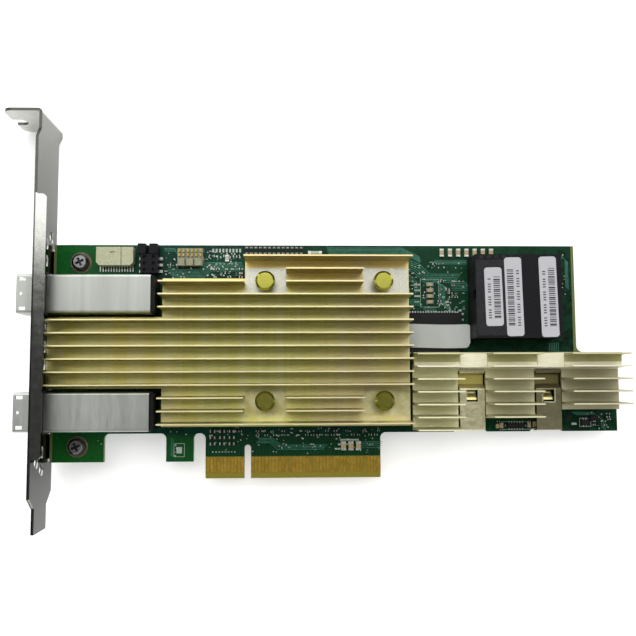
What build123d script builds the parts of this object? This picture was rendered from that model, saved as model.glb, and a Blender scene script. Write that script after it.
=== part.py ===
from build123d import *
import math
import os

os.makedirs("parts", exist_ok=True)

# A storage controller card, lying component side up. All sizes are millimetres.
# X runs along the card from the bracket, Y up the card's height, Z out of the components.

# The board.
board_length = 167.65
board_thick = 1.57
body_drop = 55.75
plain_tab_drop = 63.95
finger_drop = 68.9
step_run = 11.65
step_drop = 32.2
step_radius = 2.0
root_radius = 1.6
tab_one_width = 15.65
tab_two_start = 33.7
tab_two_width = 7.97

# The contact fingers, either side of the key notch.
key_along = 57.5
key_width = 1.9
key_drop = 60.1
contact_pitch = 1.0
contact_width = 0.7
contact_thick = 0.06
first_contact = 1.5
short_count = 11
long_count = 38
short_margin = 0.83
long_margin = 0.54
contact_top_drop = 62.7
contact_end_drop = 67.2
bevel_height = 1.45
bevel_depth = 0.5

# The bracket, one folded sheet.
bracket_height = 120.02
bracket_thick = 0.86
bracket_reach = 11.43
bracket_gap = 0.55
bracket_below_board_top = 82.57
under_clearance = 5.57
zone_width = 19.05
strip_width = 18.42
strip_setback = 3.17
back_step_start = 3.0
back_step_end = 5.9
front_step_start = 5.9
front_step_end = 9.0
tongue_width = 10.19
tongue_length = 6.9
shoulder_length = 3.4
bend_inner = 0.4
screw_slot_width = 4.42
screw_slot_depth = 3.9
screw_slot_rise = 8.84
tab_end_radius = 2.6
flange_reach = 3.5
flange_top_over_board = 11.9
flange_bottom_drop = 61.8
flange_corner = 1.4
tongue_corner = 2.0
vent_pitch = 5.0
vent_flats = 3.3
vent_columns = 3
vent_zone_drops = ((-2.0, 6.9), (24.5, 40.4), (58.4, 67.2))
vent_ear_margin = 2.0

# The two screws that hold the bracket's ears to the board.
screw_along = 7.95
screw_drops = (5.3, 59.4)
screw_thread = 3.0
screw_head = 4.9
screw_head_height = 2.0
screw_head_chamfer = 0.7
screw_length = 5.0
screw_fit = 0.1
recess_length = 2.6
recess_width = 0.7
recess_depth = 1.2
recess_turn = 25
ear_width = 7.2
ear_margin = 3.6
ear_corner = 2.4
relief_width = 0.8

# The two external ports.
port_drops = (15.65, 49.05)
port_names = ("upper", "lower")
cage_width = 11.1
cage_height = 9.8
cage_wall = 0.35
cage_stand_out = 5.9
cage_end_along = 30.3
cage_fit = 0.3
window_width = 1.9
window_height = 0.95
window_offset = 4.2
window_setback = 0.7
dimple_diameter = 0.9
dimple_shift = 0.4
insert_front_along = 10.5
insert_end_along = 31.4
insert_fit = 0.05
gasket_depth = 1.8
gasket_wall = 0.55

# Paddle slots and contact rows, alike in all four ports.
paddle_width = 8.4
paddle_height = 1.6
paddle_rise = 2.1
paddle_depth = 8.5
port_contact_count = 9
port_contact_pitch = 0.75
port_contact_width = 0.36
port_contact_thick = 0.22
port_contact_length = 7.0

# The two internal ports, mouths toward the board's top edge.
inner_port_setbacks = (26.25, 13.6)
inner_port_names = ("left", "right")
inner_port_width = 12.6
inner_port_length = 24.3
inner_port_height = 9.5
inner_port_drop = 4.1
inner_mouth_width = 10.0
inner_mouth_height = 7.8
inner_mouth_depth = 8.5
side_notch_drop = 14.4
side_notch_length = 2.7
side_notch_depth = 1.3
side_notch_height = 3.2
label_thick = 0.12
label_lean = 1.3
label_corner = 0.9
label_drop = 16.5
labels = (
    ("short", -7.35, 5.1, 17.0),
    ("long", -1.45, 5.0, 22.9),
    ("end", 8.7, 5.1, 23.4),
)

# The controller chip and the main heat sink that is pinned down on it.
chip_along = 79.85
chip_drop = 29.0
chip_side = 30.0
chip_base_thick = 1.2
die_side = 24.0
die_thick = 1.2
pad_thick = 0.4
pad_margin = 0.5
sink_base_thick = 1.5
sink_top_drop = 3.9
sink_bottom_drop = 53.6
sink_right_along = 104.9
sink_first_left = 56.8
sink_second_left = 32.8
sink_band_left = -0.2
sink_first_step = 10.6
sink_band_top = 21.9
sink_band_bottom = 42.6
sink_tip_height = 12.5
fin_count = 14
fin_first_drop = 5.0
fin_pitch = 3.654
fin_root = 0.8
fin_tip = 0.4
pin_spread_x = 34.1
pin_spread_y = 34.4
pocket_rows = ((1, 2), (11, 12))
pocket_inner_reach = 6.0
fin_shortest = 2.0

# The spring-loaded push pins.
pin_head = 5.7
pin_head_thick = 1.25
pin_head_bevel = 0.6
pin_head_rise = 8.2
pin_shank = 2.8
pin_fit = 0.15
barb_width = 4.4
barb_tip = 2.2
barb_height = 2.4
barb_slot = 0.6
spring_wire = 0.5
spring_outer = 4.9
spring_turns = 3
spring_sides = 8
spring_fit = 0.06

# The memory chips and the second heat sink that is clipped down on them.
memory_side_margin = 0.95
memory_height = 9.0
memory_thick = 1.2
memory_gap = 0.6
memory_pad_margin = 0.25
second_top_drop = 32.4
second_left = 105.9
second_end_margin = 0.35
second_base_thick = 1.2
second_tip_height = 12.4
second_bottom_drops = (55.0, 51.6, 49.2)
second_fin_first = 32.95
second_fin_pitch = 3.59
second_fin_root = 0.7
second_fin_tip = 0.4
rail_top_height = 5.6
rail_bottom_drop = 37.0
bridge_bottom_drop = 37.85
clip_shares = (0.285, 0.6547)
clip_bay = 8.2
clip_width = 7.4
clip_thick = 0.5
clip_bend = 0.4
clip_lip = 2.4
clip_gap = 0.16
clip_low_rise = 1.0
clip_rail_gap = 0.25
clip_ledge_run = 0.35
clip_slope_run = 0.45
clip_rise_run = 1.5
clip_hole_margin = 0.15
clip_hole_width = 3.3
clip_hole_top = 43.3
clip_hole_bottom = 46.8
notch_depth = 1.2
notch_run = 1.2
notch_margin = 1.3

# Parts along the top edge and on the open board.
flash_along = 111.85
flash_length = 18.4
flash_width = 11.6
flash_drop = 26.2
flash_thick = 1.1
strip_start_along = 102.0
strip_end_along = 123.2
strip_over_width = 7.2
strip_corner = 1.6
strip_drop = 27.3
strip_thick = 0.3
cable_along = 18.5
cable_width = 10.8
cable_depth = 5.4
cable_height = 3.2
cable_drop = 1.1
cable_chamfer = 0.9
cable_wall = 0.7
cable_mouth_depth = 3.6
cable_groove = 0.35
cable_groove_shift = 1.9
cable_window = (1.4, 0.7)
cable_window_place = (-0.63, 1.62)
cable_pin_count = 13
cable_pin_pitch = 0.8
cable_pin_width = 0.3
cable_pin_length = 1.5
cable_pin_thick = 0.25
jumper_along = 28.7
jumper_drop = 6.1
jumper_pitch = 1.9
jumper_width = 5.1
jumper_length = 5.6
jumper_height = 4.2
jumper_hole = 0.9
jumper_hole_depth = 0.6
jumper_foot = (0.9, 0.8, 0.7)
jumper_cap_shifts = (-2.1, 1.3)
jumper_cap = (2.3, 2.9, 4.6)
jumper_cap_gap = 0.1
led_along = 40.25
led_drop = 1.1
led_pitch = 2.5
led_depth = 5.3
led_base_height = 1.0
led_block = (2.0, 2.2, 1.1)
led_pin = (0.55, 0.9, 0.7)
led_pin_rows = 1.3
led_pin_drop = 1.4
cream_count = 7
cream_port_gap = 14.15
cream_pitch = 2.5
pack_count = 13
pack_first = 57.0
pack_pitch = 1.36
array_first_drop = 11.8
array_pitch = 1.75
bar_first = 85.6
bar_pitch = 2.2
tab_resistor_pitch = 2.8
tab_resistor_row_pitch = 1.8
tab_resistor_key_gap = 10.3
tab_resistor_finger_gap = 7.5
logic_edge_gap = 1.75
logic_shift = 2.25
logic_end_gap = 2.55
logic_end_run = 9.85

# The solder side.
under_grid_count = (4, 3)
under_grid_pitch = (5.2, 5.6)
under_capacitor = (1.0, 0.5, 0.5)
tail_along = 1.0
tail_across = 0.5
tail_rise = 0.7
cage_tail_count = 5
cage_tail_pitch = 6.4
cage_tail_middle = 16.5
cage_tail_inset = 0.3
inner_tail_count = 4
inner_tail_pitch = 6.0
inner_tail_inset = 0.5
under_chip_thick = 1.1
under_chips_from_controller = (
    (36.0, -14.0, 5.0, 6.0),
    (-40.0, 0.0, 6.2, 5.2),
    (52.0, 16.0, 9.0, 4.4),
)

# Places that follow from the sizes above.
overall_length = bracket_reach + bracket_gap + board_length
tab_end_x = -overall_length / 2
bracket_in_x = tab_end_x + bracket_reach
bracket_out_x = bracket_in_x - bracket_thick
board_left_x = bracket_in_x + bracket_gap
bracket_top_y = bracket_height / 2
bracket_bottom_y = -bracket_height / 2
board_top_y = bracket_bottom_y + bracket_below_board_top
board_under_z = under_clearance
board_face_z = board_under_z + board_thick
zone_front_z = zone_width
strip_back_z = strip_setback
strip_front_z = strip_back_z + strip_width
strip_mid_z = (strip_back_z + strip_front_z) / 2
step_along = board_length - step_run
inner_port_alongs = [step_along - setback for setback in inner_port_setbacks]
second_right = board_length - second_end_margin
clip_alongs = [second_left + share * (second_right - second_left) for share in clip_shares]


def spot(along, drop):
    """A place on the board, from its left edge and down from its top edge."""
    return (board_left_x + along, board_top_y - drop)


def block_at(along, drop, width, depth, base_z, height):
    """The centre of a block that stands on a level, and its three sizes."""
    x, y = spot(along, drop)
    return (x, y, base_z + height / 2), (width, depth, height)


def near(value, target):
    """Whether an edge lies on a level."""
    return abs(value - target) < 0.01


def keep(piece, name):
    """Label a finished piece and write its file."""
    piece.part.label = name
    export_step(piece.part, f"parts/{name}.step")


finger_left = key_along - first_contact - (short_count - 1) * contact_pitch - short_margin
finger_right = key_along + first_contact + (long_count - 1) * contact_pitch + long_margin
body_bottom_y = board_top_y - body_drop
pin_spots = [
    (chip_along + sx * pin_spread_x / 2, chip_drop + sy * pin_spread_y / 2)
    for sx in (-1, 1)
    for sy in (-1, 1)
]
screw_spots = [(screw_along, drop) for drop in screw_drops]

# The board: body, step at the far end, plain tabs, finger tab, key and clip notches.
with BuildPart() as circuit_board:
    with BuildSketch(Plane.XY.offset(board_under_z)) as board_outline:
        with Locations(spot(0, 0)):
            Rectangle(board_length, body_drop, align=(Align.MIN, Align.MAX))
            Rectangle(tab_one_width, plain_tab_drop, align=(Align.MIN, Align.MAX))
        with Locations(spot(tab_two_start, 0)):
            Rectangle(tab_two_width, plain_tab_drop, align=(Align.MIN, Align.MAX))
        with Locations(spot(finger_left, 0)):
            Rectangle(finger_right - finger_left, finger_drop, align=(Align.MIN, Align.MAX))
        with Locations(spot(step_along, 0)):
            Rectangle(
                board_length - step_along + 1,
                step_drop,
                align=(Align.MIN, Align.MAX),
                mode=Mode.SUBTRACT,
            )
        roots = board_outline.vertices().filter_by_position(
            Axis.Y, body_bottom_y - 0.01, body_bottom_y + 0.01
        )
        fillet([v for v in roots if v.X < board_left_x + finger_right + 0.1], root_radius)
        fillet(
            board_outline.vertices().filter_by_position(
                Axis.Y, board_top_y - step_drop - 0.01, board_top_y - step_drop + 0.01
            ).sort_by(Axis.X)[0],
            step_radius,
        )
        with Locations(spot(key_along, key_drop)):
            Rectangle(
                key_width,
                finger_drop - key_drop + 1,
                align=(Align.CENTER, Align.MAX),
                mode=Mode.SUBTRACT,
            )
            Circle(key_width / 2, mode=Mode.SUBTRACT)
        for along in clip_alongs:
            half = clip_width / 2 + notch_margin
            left_x, edge_y = spot(along - half, body_drop)
            right_x = left_x + 2 * half
            with BuildLine():
                Polyline(
                    (left_x, edge_y - 1),
                    (left_x, edge_y),
                    (left_x + notch_run, edge_y + notch_depth),
                    (right_x - notch_run, edge_y + notch_depth),
                    (right_x, edge_y),
                    (right_x, edge_y - 1),
                    close=True,
                )
            make_face(mode=Mode.SUBTRACT)
        with Locations(*[spot(*place) for place in screw_spots]):
            Circle(screw_thread / 2 + screw_fit, mode=Mode.SUBTRACT)
        with Locations(*[spot(*place) for place in pin_spots]):
            Circle(pin_shank / 2 + pin_fit, mode=Mode.SUBTRACT)
    extrude(amount=board_thick)
    finger_end_y = board_top_y - finger_drop
    with BuildSketch(Plane.YZ.offset(board_left_x + finger_left - 1)):
        for level, inward in ((board_under_z, 1), (board_face_z, -1)):
            with BuildLine():
                Polyline(
                    (finger_end_y, level),
                    (finger_end_y + bevel_height, level),
                    (finger_end_y, level + inward * bevel_depth),
                    close=True,
                )
            make_face()
    extrude(amount=finger_right - finger_left + 2, mode=Mode.SUBTRACT)
keep(circuit_board, "circuit_board")

# The gold contacts on both faces of the finger tab.
contact_length = contact_end_drop - contact_top_drop
contact_mid_drop = (contact_end_drop + contact_top_drop) / 2
contact_alongs = [
    key_along + side * (first_contact + index * contact_pitch)
    for side, count in ((-1, short_count), (1, long_count))
    for index in range(count)
]
with BuildPart() as edge_contacts:
    for base_z in (board_face_z, board_under_z - contact_thick):
        with BuildSketch(Plane.XY.offset(base_z)):
            with Locations(*[spot(along, contact_mid_drop) for along in contact_alongs]):
                Rectangle(contact_width, contact_length)
        extrude(amount=contact_thick)
keep(edge_contacts, "edge_contacts")

# The bracket: strip, top tab with its open screw slot, front flange, vents and ears.
tongue_top_y = bracket_bottom_y + tongue_length
shoulder_y = tongue_top_y + shoulder_length
cage_mid_z = board_face_z + cage_height / 2
bend_outer = bend_inner + bracket_thick
flange_top_y = board_top_y + flange_top_over_board
flange_bottom_y = board_top_y - flange_bottom_drop
ear_z = board_under_z - bracket_thick
ear_end_along = screw_along + ear_margin
vent_first_drop = vent_zone_drops[0][0]
vent_rows = int((vent_zone_drops[-1][1] - vent_first_drop) / vent_pitch) + 1
vent_column_pitch = vent_pitch * math.cos(math.radians(30))
vent_spots = []
for column in range(vent_columns):
    z = strip_mid_z + (column - (vent_columns - 1) / 2) * vent_column_pitch
    for row in range(vent_rows):
        vent_drop = vent_first_drop + (row + column % 2 / 2) * vent_pitch
        inside = any(high <= vent_drop <= low for high, low in vent_zone_drops)
        ear_space = ear_width / 2 + vent_ear_margin
        over_ear = any(abs(vent_drop - drop) < ear_space for drop in screw_drops)
        if inside and not (column == 0 and over_ear):
            vent_spots.append((board_top_y - vent_drop, z))
with BuildPart() as io_bracket:
    with BuildSketch(Plane.YZ.offset(bracket_out_x)) as strip_outline:
        with BuildLine():
            Polyline(
                (bracket_top_y, 0),
                (bracket_top_y - back_step_start, 0),
                (bracket_top_y - back_step_end, strip_back_z),
                (shoulder_y, strip_back_z),
                (tongue_top_y, strip_mid_z - tongue_width / 2),
                (bracket_bottom_y, strip_mid_z - tongue_width / 2),
                (bracket_bottom_y, strip_mid_z + tongue_width / 2),
                (tongue_top_y, strip_mid_z + tongue_width / 2),
                (shoulder_y, strip_front_z),
                (bracket_top_y - front_step_end, strip_front_z),
                (bracket_top_y - front_step_start, zone_front_z),
                (bracket_top_y, zone_front_z),
                close=True,
            )
        make_face()
        chamfer(
            strip_outline.vertices().filter_by_position(
                Axis.Y, bracket_bottom_y - 0.01, bracket_bottom_y + 0.01
            ),
            tongue_corner,
        )
    extrude(amount=bracket_thick)
    with BuildSketch(Plane.XZ.offset(-bracket_top_y)) as tab_outline:
        with Locations((tab_end_x, 0)):
            Rectangle(bracket_in_x - tab_end_x, zone_front_z, align=(Align.MIN, Align.MIN))
        fillet(tab_outline.vertices().group_by(Axis.X)[0], tab_end_radius)
        slot_end_x = tab_end_x + screw_slot_depth - screw_slot_width / 2
        with Locations((slot_end_x, screw_slot_rise)):
            Circle(screw_slot_width / 2, mode=Mode.SUBTRACT)
            Rectangle(
                slot_end_x - tab_end_x + 1,
                screw_slot_width,
                align=(Align.MAX, Align.CENTER),
                mode=Mode.SUBTRACT,
            )
    extrude(amount=bracket_thick)
    with BuildSketch(Plane.XY.offset(strip_front_z - bracket_thick)) as flange_outline:
        with Locations((bracket_out_x, flange_bottom_y)):
            Rectangle(
                flange_reach, flange_top_y - flange_bottom_y, align=(Align.MIN, Align.MIN)
            )
        fillet(flange_outline.vertices().group_by(Axis.X)[-1], flange_corner)
    extrude(amount=bracket_thick)
    for drop in screw_drops:
        ear_y = board_top_y - drop
        with BuildSketch(Plane.YZ.offset(bracket_out_x)):
            with Locations((ear_y, strip_back_z)):
                Rectangle(
                    ear_width + 2 * relief_width,
                    board_under_z + bend_inner - strip_back_z,
                    align=(Align.CENTER, Align.MIN),
                )
        extrude(amount=bracket_thick, mode=Mode.SUBTRACT)
        with BuildSketch(Plane.YZ.offset(bracket_out_x)):
            with Locations((ear_y, ear_z)):
                Rectangle(
                    ear_width,
                    board_under_z + bend_inner - ear_z,
                    align=(Align.CENTER, Align.MIN),
                )
        extrude(amount=bracket_thick)
        with BuildSketch(Plane.XY.offset(ear_z)) as ear_outline:
            with Locations((bracket_out_x, ear_y)):
                Rectangle(
                    board_left_x + ear_end_along - bracket_out_x,
                    ear_width,
                    align=(Align.MIN, Align.CENTER),
                )
            fillet(ear_outline.vertices().group_by(Axis.X)[-1], ear_corner)
            with Locations(spot(screw_along, drop)):
                Circle(screw_thread / 2 + screw_fit / 2, mode=Mode.SUBTRACT)
        extrude(amount=bracket_thick)
    for drop in port_drops:
        with BuildSketch(Plane.YZ.offset(bracket_out_x)):
            with Locations((board_top_y - drop, cage_mid_z)):
                Rectangle(cage_width + 2 * cage_fit, cage_height + 2 * cage_fit)
        extrude(amount=bracket_thick, mode=Mode.SUBTRACT)
    with BuildSketch(Plane.YZ.offset(bracket_out_x)):
        with Locations(*vent_spots):
            RegularPolygon(vent_flats / 2, 6, major_radius=False, rotation=30)
    extrude(amount=bracket_thick, mode=Mode.SUBTRACT)
    long_edges = io_bracket.edges().filter_by(Axis.Y)
    tall_edges = io_bracket.edges().filter_by(Axis.Z)

    tab_folds_out = [
        e
        for e in tall_edges
        if near(e.center().X, bracket_in_x) and near(e.center().Y, bracket_top_y)
    ]
    tab_folds_in = [
        e
        for e in tall_edges
        if near(e.center().X, bracket_out_x)
        and near(e.center().Y, bracket_top_y - bracket_thick)
    ]
    flange_folds_out = [
        e
        for e in long_edges
        if near(e.center().X, bracket_out_x)
        and near(e.center().Z, strip_front_z)
        and flange_bottom_y < e.center().Y < flange_top_y
    ]
    flange_folds_in = [
        e
        for e in long_edges
        if near(e.center().X, bracket_in_x) and near(e.center().Z, strip_front_z - bracket_thick)
    ]
    ear_folds_out = [
        e for e in long_edges if near(e.center().X, bracket_out_x) and near(e.center().Z, ear_z)
    ]
    ear_folds_in = [
        e
        for e in long_edges
        if near(e.center().X, bracket_in_x) and near(e.center().Z, board_under_z)
    ]
    fillet(tab_folds_out + ear_folds_out, bend_outer - 0.01)
    fillet(tab_folds_in + flange_folds_in, bend_inner)
    fillet(ear_folds_in, bend_inner - 0.05)
keep(io_bracket, "io_bracket")

# Two screws with bevelled heads and cross recesses.
screw_top_z = board_face_z + screw_head_height
with BuildPart() as bracket_screws:
    with BuildSketch(Plane.XY.offset(board_face_z)):
        with Locations(*[spot(*place) for place in screw_spots]):
            Circle(screw_head / 2)
    extrude(amount=screw_head_height)
    chamfer(
        bracket_screws.edges().filter_by(GeomType.CIRCLE).group_by(Axis.Z)[-1],
        screw_head_chamfer,
    )
    with BuildSketch(Plane.XY.offset(board_face_z)):
        with Locations(*[spot(*place) for place in screw_spots]):
            Circle(screw_thread / 2)
    extrude(amount=-(screw_length - screw_head_height))
    with BuildSketch(Plane.XY.offset(screw_top_z)):
        with Locations(*[spot(*place) for place in screw_spots]):
            Rectangle(recess_length, recess_width, rotation=recess_turn)
            Rectangle(recess_width, recess_length, rotation=recess_turn)
    extrude(amount=-recess_depth, mode=Mode.SUBTRACT)
keep(bracket_screws, "bracket_screws")

# The external ports: pressed cage, moulded insert, contact rows and foam gasket.
cage_mouth_x = bracket_out_x - cage_stand_out
cage_end_x = board_left_x + cage_end_along
insert_front_x = board_left_x + insert_front_along
insert_end_x = board_left_x + insert_end_along
window_mid_x = cage_mouth_x + window_setback + window_width / 2
row_offsets = [
    slot_side * paddle_rise + wall_side * (paddle_height - port_contact_thick) / 2
    for slot_side in (-1, 1)
    for wall_side in (-1, 1)
]
contact_columns = [
    (index - (port_contact_count - 1) / 2) * port_contact_pitch
    for index in range(port_contact_count)
]
for port_name, drop in zip(port_names, port_drops):
    port_y = board_top_y - drop
    with BuildPart() as port_cage:
        with BuildSketch(Plane.YZ.offset(cage_mouth_x)):
            with Locations((port_y, cage_mid_z)):
                RectangleRounded(cage_width, cage_height, 2 * cage_wall)
                Rectangle(
                    cage_width - 2 * cage_wall,
                    cage_height - 2 * cage_wall,
                    mode=Mode.SUBTRACT,
                )
        extrude(amount=cage_end_x - cage_mouth_x)
        with BuildSketch(Plane.XY.offset(board_face_z)):
            with Locations(
                (window_mid_x, port_y - window_offset), (window_mid_x, port_y + window_offset)
            ):
                Rectangle(window_width, window_height)
        extrude(amount=cage_height, mode=Mode.SUBTRACT)
        with BuildSketch(Plane.XY.offset(board_face_z + cage_height)):
            with Locations((window_mid_x - dimple_shift, port_y)):
                Circle(dimple_diameter / 2)
        extrude(amount=-cage_wall, mode=Mode.SUBTRACT)
    keep(port_cage, f"port_cage_{port_name}")

    insert_width = cage_width - 2 * cage_wall - 2 * insert_fit
    insert_height = cage_height - 2 * cage_wall - 2 * insert_fit
    with BuildPart() as port_insert:
        with BuildSketch(Plane.YZ.offset(insert_front_x)):
            with Locations((port_y, cage_mid_z)):
                Rectangle(insert_width, insert_height)
        extrude(amount=insert_end_x - insert_front_x)
        with BuildSketch(Plane.YZ.offset(insert_front_x)):
            with Locations(
                (port_y, cage_mid_z - paddle_rise), (port_y, cage_mid_z + paddle_rise)
            ):
                Rectangle(paddle_width, paddle_height)
        extrude(amount=paddle_depth, mode=Mode.SUBTRACT)
    keep(port_insert, f"port_insert_{port_name}")

    with BuildPart() as port_contacts:
        with BuildSketch(Plane.YZ.offset(insert_front_x + paddle_depth)):
            with Locations(
                *[(port_y + dy, cage_mid_z + dz) for dz in row_offsets for dy in contact_columns]
            ):
                Rectangle(port_contact_width, port_contact_thick)
        extrude(amount=-port_contact_length)
    keep(port_contacts, f"port_contacts_{port_name}")

    with BuildPart() as port_gasket:
        with BuildSketch(Plane.YZ.offset(bracket_in_x)):
            with Locations((port_y, board_face_z)):
                Rectangle(
                    cage_width + 2 * gasket_wall,
                    cage_height + gasket_wall,
                    align=(Align.CENTER, Align.MIN),
                )
                Rectangle(
                    cage_width,
                    cage_height,
                    align=(Align.CENTER, Align.MIN),
                    mode=Mode.SUBTRACT,
                )
        extrude(amount=gasket_depth)
    keep(port_gasket, f"port_gasket_{port_name}")

# The internal ports: moulded housings with a deep mouth, and their contact rows.
mouth_y = board_top_y - inner_port_drop
inner_mid_z = board_face_z + inner_port_height / 2
for port_name, along in zip(inner_port_names, inner_port_alongs):
    port_x = board_left_x + along
    with BuildPart() as inner_port:
        with BuildSketch(Plane.XZ.offset(-mouth_y)):
            with Locations((port_x, inner_mid_z)):
                Rectangle(inner_port_width, inner_port_height)
        extrude(amount=inner_port_length)
        with BuildSketch(Plane.XZ.offset(-mouth_y)):
            with Locations((port_x, inner_mid_z)):
                Rectangle(inner_mouth_width, inner_mouth_height)
        extrude(amount=inner_mouth_depth, mode=Mode.SUBTRACT)
        with BuildSketch(Plane.XZ.offset(-mouth_y + inner_mouth_depth)):
            with Locations(
                (port_x, inner_mid_z - paddle_rise), (port_x, inner_mid_z + paddle_rise)
            ):
                Rectangle(paddle_width, paddle_height)
        extrude(amount=paddle_depth, mode=Mode.SUBTRACT)
        notch_x = port_x - inner_port_width / 2
        with BuildSketch(Plane.XY.offset(board_face_z + inner_port_height)):
            with Locations((notch_x, board_top_y - side_notch_drop)):
                Rectangle(
                    side_notch_depth, side_notch_length, align=(Align.MIN, Align.MAX)
                )
        extrude(amount=-side_notch_height, mode=Mode.SUBTRACT)
    keep(inner_port, f"inner_port_{port_name}")

    with BuildPart() as inner_contacts:
        with BuildSketch(Plane.XZ.offset(-mouth_y + inner_mouth_depth + paddle_depth)):
            with Locations(
                *[(port_x + dx, inner_mid_z + dz) for dz in row_offsets for dx in contact_columns]
            ):
                Rectangle(port_contact_width, port_contact_thick)
        extrude(amount=-port_contact_length)
    keep(inner_contacts, f"inner_contacts_{port_name}")

# Three paper labels on top of the internal ports, each leaning a little.
for label_name, shift, width, length in labels:
    with BuildPart() as port_label:
        with BuildSketch(Plane.XY.offset(board_face_z + inner_port_height)):
            with Locations(spot(sum(inner_port_alongs) / 2 + shift, label_drop)):
                RectangleRounded(width, length, label_corner, rotation=label_lean)
        extrude(amount=label_thick)
    keep(port_label, f"port_label_{label_name}")

# The controller chip and the soft pad on its lid.
with BuildPart() as controller_chip:
    with BuildSketch(Plane.XY.offset(board_face_z)):
        with Locations(spot(chip_along, chip_drop)):
            Rectangle(chip_side, chip_side)
    extrude(amount=chip_base_thick)
    with BuildSketch(Plane.XY.offset(board_face_z + chip_base_thick)):
        with Locations(spot(chip_along, chip_drop)):
            Rectangle(die_side, die_side)
    extrude(amount=die_thick)
keep(controller_chip, "controller_chip")

lid_z = board_face_z + chip_base_thick + die_thick
with BuildPart() as controller_pad:
    with BuildSketch(Plane.XY.offset(lid_z)):
        with Locations(spot(chip_along, chip_drop)):
            Rectangle(die_side - 2 * pad_margin, die_side - 2 * pad_margin)
    extrude(amount=pad_thick)
keep(controller_pad, "controller_pad")

# The main heat sink: a stepped plate with tapered fins that leave pockets for the pins.
sink_base_z = lid_z + pad_thick
sink_floor_z = sink_base_z + sink_base_thick
sink_tip_z = board_face_z + sink_tip_height
sink_zones = (
    (sink_top_drop, sink_first_step, sink_first_left),
    (sink_first_step, sink_band_top, sink_second_left),
    (sink_band_top, sink_band_bottom, sink_band_left),
    (sink_band_bottom, sink_bottom_drop, sink_second_left),
)
left_pin_along = chip_along - pin_spread_x / 2
right_pin_along = chip_along + pin_spread_x / 2
pocket_rows_all = [row for rows in pocket_rows for row in rows]
fin_taper = fin_root - fin_tip
fin_runs = []
for row in range(fin_count):
    drop = fin_first_drop + row * fin_pitch
    left_edge = [left for top, bottom, left in sink_zones if top <= drop <= bottom][0]
    if row in pocket_rows_all:
        runs = (
            (left_edge, left_pin_along - pocket_inner_reach),
            (left_pin_along + pocket_inner_reach, right_pin_along - pocket_inner_reach),
        )
    else:
        runs = ((left_edge, sink_right_along),)
    fin_runs += [(drop, start, end) for start, end in runs if end - start > fin_shortest]
with BuildPart() as main_heatsink:
    with BuildSketch(Plane.XY.offset(sink_base_z)):
        for top, bottom, left in sink_zones:
            with Locations(spot(left, top)):
                Rectangle(sink_right_along - left, bottom - top, align=(Align.MIN, Align.MAX))
        with Locations(*[spot(*place) for place in pin_spots]):
            Circle(pin_shank / 2 + pin_fit, mode=Mode.SUBTRACT)
    extrude(amount=sink_base_thick)
    for drop, start, end in fin_runs:
        fin_y = board_top_y - drop
        with BuildSketch(Plane.YZ.offset(board_left_x + start)):
            with BuildLine():
                Polyline(
                    (fin_y - fin_root / 2, sink_floor_z),
                    (fin_y + fin_root / 2, sink_floor_z),
                    (fin_y + fin_tip / 2, sink_tip_z),
                    (fin_y - fin_tip / 2, sink_tip_z),
                    close=True,
                )
            make_face()
        extrude(amount=end - start)
keep(main_heatsink, "main_heatsink")

# Four push pins with split barbs, and the springs under their heads.
head_under_z = board_face_z + pin_head_rise
pin_top_z = head_under_z + pin_head_thick
barb_end_z = board_under_z - barb_height
with BuildPart() as push_pins:
    for place in pin_spots:
        x, y = spot(*place)
        with BuildSketch(Plane.XZ.offset(-y)):
            with BuildLine():
                Polyline(
                    (x, pin_top_z),
                    (x + pin_head / 2 - pin_head_bevel, pin_top_z),
                    (x + pin_head / 2, pin_top_z - pin_head_bevel),
                    (x + pin_head / 2, head_under_z),
                    (x + pin_shank / 2, head_under_z),
                    (x + pin_shank / 2, board_under_z),
                    (x + barb_width / 2, board_under_z),
                    (x + barb_tip / 2, barb_end_z),
                    (x, barb_end_z),
                    close=True,
                )
            make_face()
        revolve(axis=Axis((x, y, 0), (0, 0, 1)))
    with BuildSketch(Plane.XY.offset(barb_end_z)):
        with Locations(*[spot(*place) for place in pin_spots]):
            Rectangle(barb_slot, pin_head)
    extrude(amount=barb_height, mode=Mode.SUBTRACT)
keep(push_pins, "push_pins")

spring_low_z = sink_floor_z + spring_wire / 2 + spring_fit
spring_rise = head_under_z - spring_wire / 2 - spring_fit - spring_low_z
spring_radius = (spring_outer - spring_wire) / 2
spring_steps = spring_turns * spring_sides
with BuildPart() as pin_springs:
    for place in pin_spots:
        x, y = spot(*place)
        with BuildLine() as coil:
            Polyline(
                *[
                    Vector(spring_radius, 0, 0).rotate(Axis.Z, 360 * step / spring_sides)
                    + Vector(x, y, spring_low_z + spring_rise * step / spring_steps)
                    for step in range(spring_steps + 1)
                ]
            )
        with BuildSketch(Plane(origin=coil.line @ 0, z_dir=coil.line % 0)):
            Rectangle(spring_wire, spring_wire)
        sweep(path=coil.line, transition=Transition.RIGHT)
keep(pin_springs, "pin_springs")

# The memory chips and their pads, two, two and one under the second heat sink's blocks.
bay_edges = [
    edge for along in clip_alongs for edge in (along - clip_bay / 2, along + clip_bay / 2)
]
block_spans = (
    (second_left, bay_edges[0]),
    (bay_edges[1], bay_edges[2]),
    (bay_edges[3], second_right),
)
memory_top_drop = second_top_drop + memory_gap
memory_drops = [
    memory_top_drop + memory_height / 2 + row * (memory_height + memory_gap / 2)
    for row in range(2)
]
memory_row_count = (2, 2, 1)
memory_spots = [
    ((span[0] + span[1]) / 2, memory_drops[row])
    for span, rows in zip(block_spans, memory_row_count)
    for row in range(rows)
]
memory_width = min(end - start for start, end in block_spans) - 2 * memory_side_margin
with BuildPart() as memory_chips:
    with BuildSketch(Plane.XY.offset(board_face_z)):
        with Locations(*[spot(*place) for place in memory_spots]):
            Rectangle(memory_width, memory_height)
    extrude(amount=memory_thick)
keep(memory_chips, "memory_chips")

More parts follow.
